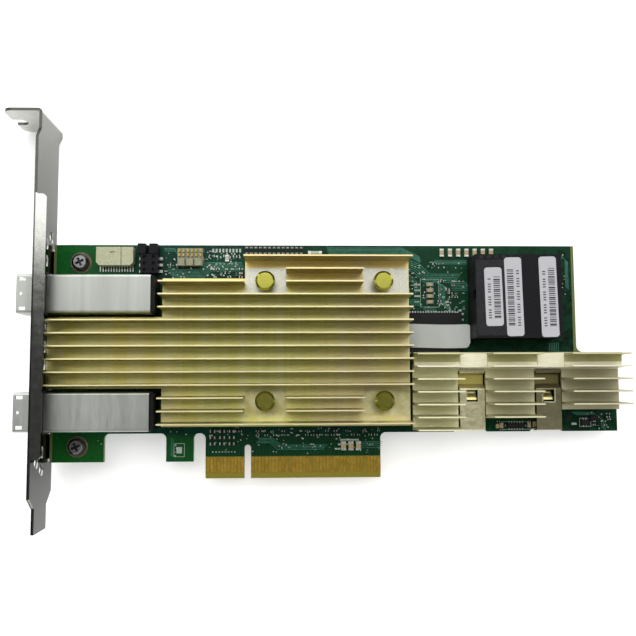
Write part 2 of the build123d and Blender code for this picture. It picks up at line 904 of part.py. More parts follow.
memory_lid_z = board_face_z + memory_thick
with BuildPart() as memory_pads:
    with BuildSketch(Plane.XY.offset(memory_lid_z)):
        with Locations(*[spot(*place) for place in memory_spots]):
            Rectangle(
                memory_width - 2 * memory_pad_margin, memory_height - 2 * memory_pad_margin
            )
    extrude(amount=pad_thick)
keep(memory_pads, "memory_pads")

# The second heat sink: three finned blocks joined by a raised rail, with two clip bays.
second_base_z = memory_lid_z + pad_thick
second_floor_z = second_base_z + second_base_thick
second_tip_z = board_face_z + second_tip_height
with BuildPart() as second_heatsink:
    with BuildSketch(Plane.XY.offset(second_base_z)):
        with Locations(spot(second_left, second_top_drop)):
            Rectangle(
                second_right - second_left,
                bridge_bottom_drop - second_top_drop,
                align=(Align.MIN, Align.MAX),
            )
        for (start, end), bottom in zip(block_spans, second_bottom_drops):
            with Locations(spot(start, second_top_drop)):
                Rectangle(
                    end - start, bottom - second_top_drop, align=(Align.MIN, Align.MAX)
                )
    extrude(amount=second_base_thick)
    with BuildSketch(Plane.XY.offset(second_floor_z)):
        with Locations(spot(second_left, second_top_drop)):
            Rectangle(
                second_right - second_left,
                rail_bottom_drop - second_top_drop,
                align=(Align.MIN, Align.MAX),
            )
    extrude(amount=board_face_z + rail_top_height - second_floor_z)
    for (start, end), bottom in zip(block_spans, second_bottom_drops):
        rows = int((bottom - second_fin_first) / second_fin_pitch) + 1
        for row in range(rows):
            fin_y = board_top_y - second_fin_first - row * second_fin_pitch
            with BuildSketch(Plane.YZ.offset(board_left_x + start)):
                with BuildLine():
                    Polyline(
                        (fin_y - second_fin_root / 2, second_floor_z),
                        (fin_y + second_fin_root / 2, second_floor_z),
                        (fin_y + second_fin_tip / 2, second_tip_z),
                        (fin_y - second_fin_tip / 2, second_tip_z),
                        close=True,
                    )
                make_face()
            extrude(amount=end - start)
keep(second_heatsink, "second_heatsink")

# Two spring clips: over the ledge, through the bay and round the notch under the board.
ledge_z = second_floor_z + clip_thick / 2
notch_y = board_top_y - body_drop + notch_depth
hook_y = notch_y - clip_thick / 2 - clip_gap
hook_under_z = board_under_z - clip_thick / 2
clip_low_z = board_face_z + clip_low_rise
clip_dip_y = board_top_y - bridge_bottom_drop - clip_ledge_run
clip_rise_y = board_top_y - clip_hole_top + clip_hole_margin
for clip_name, along in zip(("left", "right"), clip_alongs):
    clip_x = board_left_x + along
    with BuildPart() as spring_clip:
        with BuildSketch(Plane.YZ.offset(clip_x - clip_width / 2)):
            with BuildLine():
                FilletPolyline(
                    (board_top_y - rail_bottom_drop - clip_rail_gap, ledge_z),
                    (clip_dip_y, ledge_z),
                    (clip_dip_y - clip_slope_run, clip_low_z),
                    (clip_rise_y + clip_rise_run, clip_low_z),
                    (clip_rise_y, ledge_z),
                    (hook_y, ledge_z),
                    (hook_y, hook_under_z),
                    (hook_y + clip_lip, hook_under_z),
                    radius=clip_bend,
                )
            trace(line_width=clip_thick)
        extrude(amount=clip_width)
        with BuildSketch(Plane.XY.offset(ledge_z - clip_thick)):
            with Locations((clip_x, board_top_y - clip_hole_top)):
                Rectangle(
                    clip_hole_width,
                    clip_hole_bottom - clip_hole_top,
                    align=(Align.CENTER, Align.MAX),
                )
        extrude(amount=2 * clip_thick, mode=Mode.SUBTRACT)
    keep(spring_clip, f"spring_clip_{clip_name}")

# The flash chip beside the main heat sink, and the grey strip laid over it.
with BuildPart() as flash_chip:
    with BuildSketch(Plane.XY.offset(board_face_z)):
        with Locations(spot(flash_along, flash_drop)):
            Rectangle(flash_length, flash_width)
    extrude(amount=flash_thick)
keep(flash_chip, "flash_chip")

flash_lid_z = board_face_z + flash_thick
with BuildPart() as grey_strip:
    with BuildSketch(Plane.XY.offset(flash_lid_z)) as strip_sketch:
        with Locations(spot((strip_start_along + strip_end_along) / 2, strip_drop)):
            Rectangle(strip_end_along - strip_start_along, strip_over_width)
        fillet(strip_sketch.vertices().group_by(Axis.X)[-1], strip_corner)
    extrude(amount=strip_thick)
keep(grey_strip, "grey_strip")

# The ivory cable header: chamfered body with its mouth toward the board's top edge.
cable_x, cable_top_y = spot(cable_along, cable_drop)
with BuildPart() as cable_header:
    with BuildSketch(Plane.XY.offset(board_face_z)) as cable_outline:
        with Locations((cable_x, cable_top_y)):
            Rectangle(cable_width, cable_depth, align=(Align.CENTER, Align.MAX))
        chamfer(cable_outline.vertices().group_by(Axis.Y)[0], cable_chamfer)
    extrude(amount=cable_height)
    with BuildSketch(Plane.XZ.offset(-cable_top_y)):
        with Locations((cable_x, board_face_z + cable_height / 2)):
            Rectangle(cable_width - 2 * cable_wall, cable_height - 2 * cable_wall)
    extrude(amount=cable_mouth_depth, mode=Mode.SUBTRACT)
    with BuildSketch(Plane.XY.offset(board_face_z + cable_height)):
        with Locations((cable_x + cable_groove_shift, cable_top_y)):
            Rectangle(cable_groove, cable_depth, align=(Align.CENTER, Align.MAX))
        with Locations((cable_x + cable_window_place[0], cable_top_y - cable_window_place[1])):
            Rectangle(*cable_window)
    extrude(amount=-cable_groove, mode=Mode.SUBTRACT)
keep(cable_header, "cable_header")

cable_pin_x = [
    cable_x + (index - (cable_pin_count - 1) / 2) * cable_pin_pitch
    for index in range(cable_pin_count)
]
with BuildPart() as cable_header_pins:
    with BuildSketch(Plane.XY.offset(board_face_z)):
        with Locations(*[(x, cable_top_y - cable_depth) for x in cable_pin_x]):
            Rectangle(cable_pin_width, cable_pin_length, align=(Align.CENTER, Align.MAX))
    extrude(amount=cable_pin_thick)
keep(cable_header_pins, "cable_header_pins")

# The black jumper header: base with three terminals a side, and two jumper caps.
jumper_x, jumper_y = spot(jumper_along, jumper_drop)
with BuildPart() as jumper_header:
    with BuildSketch(Plane.XY.offset(board_face_z)):
        with Locations((jumper_x, jumper_y)):
            Rectangle(jumper_width, jumper_length)
    extrude(amount=jumper_height)
    with BuildSketch(Plane.XY.offset(board_face_z + jumper_height)):
        with Locations((jumper_x, jumper_y)):
            with GridLocations(jumper_width / 2, jumper_pitch, 2, 3):
                Rectangle(jumper_hole, jumper_hole)
    extrude(amount=-jumper_hole_depth, mode=Mode.SUBTRACT)
keep(jumper_header, "jumper_header")

with BuildPart() as jumper_terminals:
    with BuildSketch(Plane.XY.offset(board_face_z)):
        with Locations((jumper_x, jumper_y)):
            with GridLocations(jumper_width + jumper_foot[0], jumper_pitch, 2, 3):
                Rectangle(jumper_foot[0], jumper_foot[1])
    extrude(amount=jumper_foot[2])
keep(jumper_terminals, "jumper_terminals")

with BuildPart() as jumper_caps:
    with BuildSketch(Plane.XY.offset(board_face_z)):
        cap_y = jumper_y + jumper_length / 2 + jumper_cap_gap
        with Locations(*[(jumper_x + shift, cap_y) for shift in jumper_cap_shifts]):
            Rectangle(jumper_cap[0], jumper_cap[1], align=(Align.CENTER, Align.MIN))
    extrude(amount=jumper_cap[2])
keep(jumper_caps, "jumper_caps")

# The three-way header: an ivory base with three raised blocks, and brass pins.
led_x, led_top_y = spot(led_along, led_drop)
led_columns = [led_x + step * led_pitch for step in (-1, 0, 1)]
with BuildPart() as led_header:
    with BuildSketch(Plane.XY.offset(board_face_z)):
        with Locations((led_x, led_top_y)):
            Rectangle(3 * led_pitch, led_depth, align=(Align.CENTER, Align.MAX))
    extrude(amount=led_base_height)
    with BuildSketch(Plane.XY.offset(board_face_z + led_base_height)):
        with Locations(*[(x, led_top_y - led_depth) for x in led_columns]):
            Rectangle(led_block[0], led_block[1], align=(Align.CENTER, Align.MIN))
    extrude(amount=led_block[2])
keep(led_header, "led_header")

with BuildPart() as led_pins:
    with BuildSketch(Plane.XY.offset(board_face_z + led_base_height)):
        with Locations((led_x, led_top_y - led_pin_drop)):
            with GridLocations(led_pitch / 2, led_pin_rows, 6, 2):
                Rectangle(led_pin[0], led_pin[1])
    extrude(amount=led_pin[2])
keep(led_pins, "led_pins")

# Groups of small parts, each group one node of separate blocks: place, size, and height.
small_groups = {
    "cream_capacitors": [
        (inner_port_alongs[0] - cream_port_gap + index * cream_pitch, 2.2, 1.25, 2.4, 0.9) for index in range(cream_count)
    ],
    "resistor_packs": [
        (pack_first + index * pack_pitch, 1.6, 0.85, 2.2, 0.45) for index in range(pack_count)
    ],
    "resistor_array": [
        (111.9, array_first_drop + row * array_pitch, 2.2, 1.1, 0.5) for row in range(4)
    ],
    "bar_capacitors": [
        (bar_first + column * bar_pitch, 59.6, 1.5, 2.6, 0.9) for column in range(3)
    ],
    "ferrite_beads": [(77.4, 2.2, 4.2, 0.9, 0.7), (51.2, 4.0, 1.2, 2.0, 0.8)],
    "logic_chips": [
        (board_length - logic_end_run, body_drop - logic_end_gap, 2.2, 1.6, 0.9),
        (sum(clip_alongs) / 2 + logic_shift, body_drop - logic_edge_gap, 5.2, 1.5, 0.9),
    ],
    "tab_resistors": [
        (
            key_along - tab_resistor_key_gap + column * tab_resistor_pitch,
            contact_top_drop - tab_resistor_finger_gap + row * tab_resistor_row_pitch,
            1.6,
            0.8,
            0.5,
        )
        for column in range(3)
        for row in range(3)
    ],
}
for group_name, places in small_groups.items():
    with BuildPart() as small_group:
        for along, drop, width, depth, height in places:
            centre, sides = block_at(along, drop, width, depth, board_face_z, height)
            with Locations(centre):
                Box(*sides)
    keep(small_group, group_name)

# The solder side: decoupling capacitors under the controller.
with BuildPart() as under_capacitors:
    with BuildSketch(Plane.XY.offset(board_under_z)):
        with Locations(spot(chip_along, chip_drop)):
            with GridLocations(*under_grid_pitch, *under_grid_count):
                Rectangle(under_capacitor[0], under_capacitor[1])
    extrude(amount=-under_capacitor[2])
keep(under_capacitors, "under_capacitors")

# Soldered ends of the tabs that hold the four ports on the board.
with BuildPart() as port_tails:
    with BuildSketch(Plane.XY.offset(board_under_z)):
        cage_rows = cage_width - 2 * cage_tail_inset
        with Locations(*[spot(cage_tail_middle, drop) for drop in port_drops]):
            with GridLocations(cage_tail_pitch, cage_rows, cage_tail_count, 2):
                Rectangle(tail_along, tail_across)
        inner_rows = inner_port_width - 2 * inner_tail_inset
        inner_middle_drop = inner_port_drop + inner_port_length / 2
        with Locations(*[spot(along, inner_middle_drop) for along in inner_port_alongs]):
            with GridLocations(inner_rows, inner_tail_pitch, 2, inner_tail_count):
                Rectangle(tail_across, tail_along)
    extrude(amount=-tail_rise)
keep(port_tails, "port_tails")

# Three small chips, placed from the controller's middle.
with BuildPart() as under_chips:
    with BuildSketch(Plane.XY.offset(board_under_z)):
        for right, down, width, depth in under_chips_from_controller:
            with Locations(spot(chip_along + right, chip_drop + down)):
                Rectangle(width, depth)
    extrude(amount=-under_chip_thick)
keep(under_chips, "under_chips")
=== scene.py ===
import math
import random

import bmesh
import bpy
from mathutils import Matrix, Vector


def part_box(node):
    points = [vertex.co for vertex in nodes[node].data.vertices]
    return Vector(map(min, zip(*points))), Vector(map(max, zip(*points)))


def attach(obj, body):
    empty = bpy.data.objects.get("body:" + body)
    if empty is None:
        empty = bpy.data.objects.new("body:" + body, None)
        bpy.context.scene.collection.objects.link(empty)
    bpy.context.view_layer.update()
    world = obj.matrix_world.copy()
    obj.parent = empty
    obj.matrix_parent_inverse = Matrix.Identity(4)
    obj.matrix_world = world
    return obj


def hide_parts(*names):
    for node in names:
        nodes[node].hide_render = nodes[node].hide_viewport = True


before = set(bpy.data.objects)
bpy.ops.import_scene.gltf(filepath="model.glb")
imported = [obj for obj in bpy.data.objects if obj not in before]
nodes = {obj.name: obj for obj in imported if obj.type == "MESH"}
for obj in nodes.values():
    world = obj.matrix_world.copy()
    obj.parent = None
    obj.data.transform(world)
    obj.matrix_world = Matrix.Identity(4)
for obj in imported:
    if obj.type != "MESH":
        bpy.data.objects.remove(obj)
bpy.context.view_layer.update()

# Places and sizes are in millimetres, unless a comment says metres. A place on the board is
# along, from its left edge, and drop, from its top edge. Boxes from the frame are in metres.
MM = 0.001
board_low, board_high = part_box("circuit_board")
LEFT = board_low.x
TOP = board_high.y
FACE = board_high.z
UNDER = board_low.z
SEED = 11
draw = random.Random(SEED)


def place(along, drop, rise=0.0):
    """A point on or over the board's face, in metres."""
    return Vector((LEFT + along * MM, TOP - drop * MM, FACE + rise * MM))


class Look:
    """A material whose colour, roughness and bump come from nodes."""

    def __init__(self, name, metal=0.0, gloss=0.5):
        self.material = bpy.data.materials.new(name)
        self.material.use_nodes = True
        self.tree = self.material.node_tree
        self.shader = self.tree.nodes["Principled BSDF"]
        self.shader.inputs["Metallic"].default_value = metal
        self.shader.inputs["Specular IOR Level"].default_value = gloss
        self.where = self.add("ShaderNodeTexCoord").outputs["Object"]

    def add(self, kind, **settings):
        node = self.tree.nodes.new(kind)
        for key, value in settings.items():
            setattr(node, key, value)
        return node

    def join(self, start, end):
        self.tree.links.new(start, end)

    def noise(self, per_mm, stretch=(1, 1, 1), detail=3.0, rough=0.55):
        """Noise with so many features to a millimetre, drawn out where stretch is small."""
        scaled = self.add("ShaderNodeMapping")
        scaled.inputs["Scale"].default_value = [part / MM for part in stretch]
        self.join(self.where, scaled.inputs["Vector"])
        noise = self.add("ShaderNodeTexNoise")
        noise.inputs["Scale"].default_value = per_mm
        noise.inputs["Detail"].default_value = detail
        noise.inputs["Roughness"].default_value = rough
        self.join(scaled.outputs["Vector"], noise.inputs["Vector"])
        return noise.outputs["Fac"]

    def ramp(self, value, *stops):
        """Colours or greys at places from 0 to 1 along a value."""
        node = self.add("ShaderNodeValToRGB")
        elements = node.color_ramp.elements
        for index, (position, colour) in enumerate(stops):
            element = elements[index] if index < 2 else elements.new(position)
            element.position = position
            element.color = (*colour, 1) if hasattr(colour, "__len__") else (colour,) * 3 + (1,)
        self.join(value, node.inputs["Fac"])
        return node.outputs["Color"]

    def mix(self, share, first, second):
        """The first colour, going over to the second with the share."""
        node = self.add("ShaderNodeMix", data_type="RGBA")
        for value, socket in ((share, 0), (first, 6), (second, 7)):
            if isinstance(value, bpy.types.NodeSocket):
                self.join(value, node.inputs[socket])
            elif hasattr(value, "__len__"):
                node.inputs[socket].default_value = (*value, 1)
            else:
                node.inputs[socket].default_value = value
        return node.outputs[2]

    def math(self, operation, first, second=0.0):
        node = self.add("ShaderNodeMath", operation=operation)
        for value, socket in ((first, 0), (second, 1)):
            if isinstance(value, bpy.types.NodeSocket):
                self.join(value, node.inputs[socket])
            else:
                node.inputs[socket].default_value = value
        return node.outputs[0]

    def part(self, axis, source=None):
        """One coordinate of the place on the object, in metres, or of another source."""
        node = self.add("ShaderNodeSeparateXYZ")
        self.join(source or self.where, node.inputs[0])
        return node.outputs[axis]

    def level(self, axis, edge, soft=0.05):
        """0 below a coordinate, 1 above it, both in millimetres."""
        span = self.add("ShaderNodeMapRange")
        span.inputs["From Min"].default_value = (edge - soft) * MM
        span.inputs["From Max"].default_value = (edge + soft) * MM
        self.join(self.part(axis), span.inputs["Value"])
        return span.outputs["Result"]

    def below(self, axis, edge, soft=0.05):
        """1 below a coordinate, 0 above it, both in millimetres."""
        return self.math("SUBTRACT", 1.0, self.level(axis, edge, soft))

    def both(self, first, second):
        """1 where two values are both 1."""
        return self.math("MULTIPLY", first, second)

    def facing(self, axis, least):
        """1 on faces turned toward an axis by more than least, 0 on the others."""
        normal = self.add("ShaderNodeNewGeometry").outputs["Normal"]
        return self.math("GREATER_THAN", self.part(axis, normal), least)

    def sideways(self):
        """1 on faces that stand upright, 0 on those that lie flat."""
        normal = self.add("ShaderNodeNewGeometry").outputs["Normal"]
        upright = self.math("ABSOLUTE", self.part("Z", normal))
        return self.math("LESS_THAN", upright, 0.5)

    def tint(self, base, turn, share, colour):
        """The base, with a share of a colour where turn is 1."""
        return self.mix(self.math("MULTIPLY", turn, share), base, colour)

    def colour(self, value):
        self.join(value, self.shader.inputs["Base Color"])

    def rough(self, value, low, high):
        """Roughness between low and high, after a value."""
        self.join(self.ramp(value, (0.25, low), (0.75, high)), self.shader.inputs["Roughness"])

    def bump(self, height, depth_mm, strength=0.5):
        node = self.add("ShaderNodeBump")
        node.inputs["Strength"].default_value = strength
        node.inputs["Distance"].default_value = depth_mm * MM
        self.join(height, node.inputs["Height"])
        self.join(node.outputs["Normal"], self.shader.inputs["Normal"])


def speckled(name, dark, light, per_mm=2.0, rough=(0.35, 0.6), metal=0.0, depth=0.02,
             stretch=(1, 1, 1), gloss=0.5):
    """A material that varies between two colours, with its roughness and a fine relief."""
    look = Look(name, metal=metal, gloss=gloss)
    grain = look.noise(per_mm, stretch)
    look.colour(look.ramp(grain, (0.3, dark), (0.7, light)))
    look.rough(look.noise(per_mm * 0.6, stretch), *rough)
    look.bump(grain, depth)
    return look.material


# Solder mask: green that turns to teal in the middle and dark toward the far end, which is painted
# reflection and shade, a painted brighter green reflection below over the tab, bare edges.
TAB_TOP = 56.5
TAB_END = 43.0
FINGER_TOP = 62.5
BARE_LEFT = 0.75
BARE_RIGHT = 155.15
BARE_DROP = 32.2
MASK_AND_REFLECTION_COLOURS = (
    (0.0, (0.004, 0.105, 0.010)),
    (0.09, (0.004, 0.085, 0.016)),
    (0.16, (0.003, 0.034, 0.024)),
    (0.55, (0.002, 0.022, 0.013)),
    (0.72, (0.003, 0.034, 0.013)),
    (0.84, (0.003, 0.030, 0.010)),
    (0.90, (0.002, 0.012, 0.006)),
    (1.0, (0.002, 0.018, 0.006)),
)


def mask_material():
    """The board: copper areas and glass weave under the mask, with bare laminate at its edges."""
    look = Look("solder_mask", gloss=0.12)
    across = look.add("ShaderNodeMapRange")
    across.inputs["From Min"].default_value = LEFT
    across.inputs["From Max"].default_value = board_high.x
    look.join(look.part("X"), across.inputs["Value"])
    # Painted reflection and shade: the mask's green shifts to teal and dark across the board.
    base = look.ramp(across.outputs["Result"], *MASK_AND_REFLECTION_COLOURS)
    pour = look.ramp(look.noise(0.35, detail=1.0), (0.49, 0.0), (0.51, 0.35))
    base = look.mix(pour, base, (0.006, 0.060, 0.026))
    weave = look.ramp(look.noise(3.0, detail=2.0), (0.4, 0.0), (0.8, 0.35))
    base = look.mix(weave, base, (0.008, 0.05, 0.022))
    # Painted reflection: brighter green low on the board over the tab, duller past it.
    past_tab = look.level("X", LEFT / MM + TAB_END, 1.0)
    tab_reflection = look.mix(past_tab, (0.006, 0.075, 0.008), (0.004, 0.030, 0.007))
    base = look.tint(base, look.below("Y", TOP / MM - TAB_TOP, 0.8), 0.7, tab_reflection)
    finger = look.below("Y", TOP / MM - FINGER_TOP)
    finger = look.both(finger, look.level("X", LEFT / MM + TAB_END))
    bare = look.mix(look.noise(4.0), (0.16, 0.14, 0.015), (0.26, 0.21, 0.03))
    base = look.mix(finger, base, bare)
    right = look.level("X", LEFT / MM + BARE_RIGHT)
    right = look.both(right, look.level("Y", TOP / MM - BARE_DROP))
    edge = look.math("MAXIMUM", right, look.below("X", LEFT / MM + BARE_LEFT))
    laminate = look.mix(look.noise(2.5), (0.10, 0.12, 0.035), (0.22, 0.25, 0.10))
    base = look.tint(base, edge, 0.85, laminate)
    base = look.tint(base, look.sideways(), 0.8, laminate)
    look.colour(base)
    look.rough(look.noise(0.8), 0.22, 0.42)
    look.bump(look.noise(1.2, detail=5.0), 0.03, 0.35)
    return look.material


# Places on the bracket: heights along Y, some of them where painted reflection and shade change,
# and how far its flange rises, reaches and folds, with the width of the painted shade along the
# fold.
FOOT_Y = 14.0
SIDE_Y = 38.0
CUT_EDGE_Y = 34.8
SCREW_TAB_Y = 58.6
FLANGE_RISE = 5.0
FLANGE_REACH = 34.0
FOLD_WIDTH = 0.45


def bracket_material():
    """Zinc plate with cloudy grains, with a painted dark reflection toward its foot, painted shade
    on its upright sides and at its fold, and darker on its cut edges.
    """
    look = Look("zinc_plate", metal=1.0)
    cloud = look.noise(0.5, detail=6.0, rough=0.7)
    grain = look.noise(3.0, detail=4.0)
    base = look.ramp(cloud, (0.3, (0.36, 0.37, 0.34)), (0.7, (0.50, 0.51, 0.48)))
    base = look.mix(look.ramp(grain, (0.4, 0.0), (0.8, 0.5)), base, (0.60, 0.60, 0.57))
    # Painted reflection: the plate darkens toward its foot.
    base = look.tint(base, look.below("Y", FOOT_Y, 8.0), 0.6, (0.15, 0.15, 0.145))
    # Painted shade on the upright faces below the screw tab, darker lower down.
    shade = look.mix(look.level("Y", SIDE_Y, 16.0), (0.012, 0.012, 0.011), (0.11, 0.112, 0.098))
    edges = look.both(look.sideways(), look.below("Y", SCREW_TAB_Y, 0.2))
    base = look.tint(base, edges, 0.92, shade)
    flange_x = min(
        vertex.co.x for vertex in nodes["io_bracket"].data.vertices
        if vertex.co.z > FACE + FLANGE_RISE * MM and abs(vertex.co.y) < FLANGE_REACH * MM
    )
    # Painted shade in a thin line along the fold.
    fold = look.below("X", flange_x / MM + FOLD_WIDTH, 0.1)
    base = look.tint(base, look.both(fold, look.facing("Z", 0.3)), 0.85, (0.03, 0.03, 0.028))
    cut = look.both(look.facing("Z", 0.7), look.level("Y", CUT_EDGE_Y))
    base = look.mix(cut, base, look.mix(grain, (0.02, 0.02, 0.018), (0.09, 0.09, 0.08)))
    look.colour(base)
    look.rough(cloud, 0.10, 0.20)
    look.bump(look.noise(1.6, (1, 0.3, 1), detail=5.0), 0.02, 0.5)
    return look.material


def cage_material():
    """Tin plate brushed across the cage, in soft bands."""
    look = Look("tin_plate", metal=1.0)
    bands = look.noise(0.28, (1, 0.06, 1), detail=2.0)
    hair = look.noise(5.0, (1, 0.05, 1), detail=4.0)
    base = look.ramp(bands, (0.3, (0.37, 0.39, 0.36)), (0.7, (0.48, 0.50, 0.47)))
    base = look.mix(look.ramp(hair, (0.35, 0.0), (0.8, 0.22)), base, (0.58, 0.60, 0.58))
    look.colour(base)
    look.rough(hair, 0.32, 0.50)
    look.bump(hair, 0.01, 0.4)
    return look.material


# Painted highlight on the fin tips starts this far under the fins' height, and the last stretch at
# the far end gets painted shade.
TIP_EDGE = 0.25
FAR_END_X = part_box("second_heatsink")[1].x / MM - 1.0
FAR_END_SHADE_COLOUR = (0.035, 0.032, 0.022)


def extruded_material(name, dark, light, warm, pale, rough, metal, tips, east, top, rosy, row=None):
    """Anodised aluminium drawn along X: fine lines, broad tones, a painted highlight on the fin
    tips, painted shade on the sides and on the far fin ends.

    tips gives the height of the fin tips over the board in millimetres, how much their painted
    highlight turns them and to what colour. east gives where along the board the metal turns, over
    what length, how much and to what colour, and top the same toward the board's top edge, used for
    painted reflection and painted shade. rosy gives the same as east for streaks. row gives the two
    drops between which a fin gets a painted highlight, how much and in what colour.
    """
    look = Look(name, metal=metal)
    lines = look.noise(4.0, (0.02, 1, 1), detail=4.0)
    broad = look.noise(0.05, (1, 0.4, 0.4), detail=2.0)
    bands = look.noise(0.22, (1, 0.02, 0.02), detail=3.0)
    base = look.ramp(lines, (0.3, dark), (0.7, light))
    base = look.mix(look.ramp(broad, (0.45, 0.0), (0.75, 0.6)), base, warm)
    base = look.mix(look.ramp(bands, (0.42, 0.0), (0.62, 0.35)), base, pale)
    middle, soft, share, colour = east
    base = look.tint(base, look.level("X", LEFT / MM + middle, soft), share, colour)
    middle, soft, share, colour = top
    base = look.tint(base, look.level("Y", TOP / MM - middle, soft), share, colour)
    middle, soft, share, colour = rosy
    streaks = look.ramp(look.noise(0.12, (1, 0.05, 0.05)), (0.46, 0.0), (0.56, share))
    base = look.mix(look.both(look.level("X", LEFT / MM + middle, soft), streaks), base, colour)
    # Painted shade on the upright faces of the fins and base.
    grey = sum(dark) / 3
    shade = [0.34 * part + 0.06 * grey for part in dark]
    base = look.tint(base, look.sideways(), 0.76, shade)
    # Painted highlight on a row between two drops.
    if row:
        first, last, share, colour = row
        past_first = look.level("Y", TOP / MM - first)
        turn = look.math("SUBTRACT", look.level("Y", TOP / MM - last), past_first)
        base = look.tint(base, turn, share, colour)
    # Painted shade on the far fin ends, on faces turned along X past FAR_END_X.
    over = look.both(look.level("X", FAR_END_X, 0.3), look.facing("X", 0.6))
    base = look.tint(base, over, 0.9, FAR_END_SHADE_COLOUR)
    # Painted highlight on the fin tips, kept off the painted far ends.
    height, share, colour = tips
    tip_highlight = look.level("Z", FACE / MM + height - TIP_EDGE)
    tip_highlight = look.both(tip_highlight, look.math("SUBTRACT", 1.0, over))
    base = look.tint(base, tip_highlight, share, colour)
    look.colour(base)
    look.rough(lines, *rough)
    look.bump(lines, 0.012, 0.5)
    return look.material


# The clips' dip over the board, which gets painted shade, the place along it where the far clip
# starts, past which the clip gets painted shade, and how far under the screw heads their recess
# gets painted shade.
DIP_RISE = 2.2
FAR_CLIP = 135.0
RECESS_EDGE = 0.14


def clip_material():
    """Coated spring steel, with painted shade in its dip and over the clip at the far end."""
    look = Look("clip_steel", metal=0.8)
    grain = look.noise(1.0, detail=5.0)
    base = look.ramp(grain, (0.3, (0.50, 0.47, 0.27)), (0.7, (0.70, 0.66, 0.45)))
    # Painted shade in the clip's dip.
    base = look.tint(base, look.below("Z", FACE / MM + DIP_RISE, 0.7), 0.85, (0.50, 0.42, 0.09))
    # Painted shade over the far clip.
    base = look.tint(base, look.level("X", LEFT / MM + FAR_CLIP, 3.0), 0.8, (0.10, 0.09, 0.045))
    look.colour(base)
    look.rough(grain, 0.34, 0.50)
    look.bump(grain, 0.02)
    return look.material


def brass_material():
    """Turned brass with the tool's fine marks."""
    look = Look("turned_brass", metal=1.0)
    marks = look.noise(6.0, detail=2.0)
    look.colour(look.ramp(marks, (0.3, (0.42, 0.40, 0.055)), (0.7, (0.62, 0.60, 0.13))))
    look.rough(marks, 0.16, 0.28)
    look.bump(marks, 0.01, 0.4)
    return look.material


def screw_material():
    """Chromed steel, with painted shade in the cross recess and round the head's side."""
    look = Look("chrome", metal=1.0)
    sheen = look.noise(0.4)
    base = look.ramp(sheen, (0.3, (0.20, 0.20, 0.21)), (0.7, (0.30, 0.30, 0.31)))
    head_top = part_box("bracket_screws")[1].z / MM
    # Painted shade in the cross recess and round the head's side.
    base = look.tint(base, look.below("Z", head_top - RECESS_EDGE, 0.04), 0.9, (0.02, 0.02, 0.022))
    look.colour(base)
    look.rough(sheen, 0.24, 0.32)
    return look.material


mask = mask_material()
zinc = bracket_material()
tin = cage_material()
gold_sink = extruded_material(
    "gold_anodised",
    dark=(0.70, 0.66, 0.21), light=(0.88, 0.84, 0.35),
    warm=(0.94, 0.74, 0.28), pale=(0.93, 0.90, 0.64),
    rough=(0.38, 0.52), metal=0.88,
    tips=(12.5, 0.5, (0.84, 0.75, 0.50)),
    east=(98.0, 12.0, 0.4, (0.80, 0.76, 0.47)),
    # Painted reflection: amber toward the board's top edge.
    top=(13.0, 3.5, 0.75, (1.0, 0.74, 0.26)),
    rosy=(78.0, 10.0, 0.45, (0.80, 0.66, 0.44)),
)
tan_sink = extruded_material(
    "tan_anodised",
    dark=(0.88, 0.85, 0.44), light=(0.97, 0.95, 0.60),
    warm=(0.92, 0.88, 0.56), pale=(0.97, 0.94, 0.72),
    rough=(0.40, 0.54), metal=0.62,
    tips=(12.4, 0.45, (0.80, 0.76, 0.52)),
    # Painted shade: darker toward the far end.
    east=(137.0, 24.0, 0.85, (0.42, 0.38, 0.26)),
    # Painted shade: darker toward the board's top edge, where the first fin shades the channel.
    top=(36.0, 0.3, 0.75, (0.44, 0.42, 0.16)),
    rosy=(120.0, 10.0, 0.2, (0.80, 0.76, 0.60)),
    # Painted highlight: pale along the rail's raised top.
    row=(35.9, 37.3, 0.85, (0.96, 0.93, 0.77)),
)
brass = brass_material()
gold_plate = speckled(
    "gold_plate", (0.62, 0.36, 0.05), (0.84, 0.54, 0.10), 0.8, (0.28, 0.36), 1.0, 0.002
)
dull_gold = speckled(
    "dull_gold", (0.26, 0.20, 0.06), (0.42, 0.34, 0.13), 2.0, (0.3, 0.45), 1.0, 0.005
)
chrome = screw_material()
nickel = speckled("nickel", (0.36, 0.36, 0.37), (0.55, 0.55, 0.56), 3.0, (0.22, 0.4), 1.0, 0.01)
tinned = speckled("tinned", (0.50, 0.50, 0.48), (0.68, 0.68, 0.66), 2.5, (0.3, 0.5), 1.0, 0.03)
dim_tin = speckled("dim_tin", (0.16, 0.16, 0.15), (0.30, 0.30, 0.28), 2.5, (0.3, 0.5), 1.0, 0.01)
ring_copper = speckled(
    "ring_copper", (0.10, 0.07, 0.045), (0.24, 0.19, 0.13), 3.0, (0.4, 0.6), 0.6, 0.02
)
bare_bright = speckled(
    "bare_aluminium", (0.56, 0.55, 0.45), (0.72, 0.71, 0.63), 2.0, (0.25, 0.4), 1.0, 0.02
)
bare_gold = speckled(
    "thin_anodising", (0.60, 0.52, 0.17), (0.95, 0.90, 0.56), 0.25, (0.36, 0.46), 1.0, 0.0
)
# Painted highlight for the raised tops of the second heat sink's rail.
rail_highlight = speckled(
    "rail_highlight_anodising", (0.78, 0.75, 0.54), (0.90, 0.87, 0.68), 1.5, (0.4, 0.55), 0.35, 0.01,
    (0.2, 1, 1)
)
spring_wire = speckled("spring_wire", (0.3, 0.3, 0.28), (0.5, 0.5, 0.47), 4.0, (0.3, 0.45), 1.0)
clip_steel = clip_material()
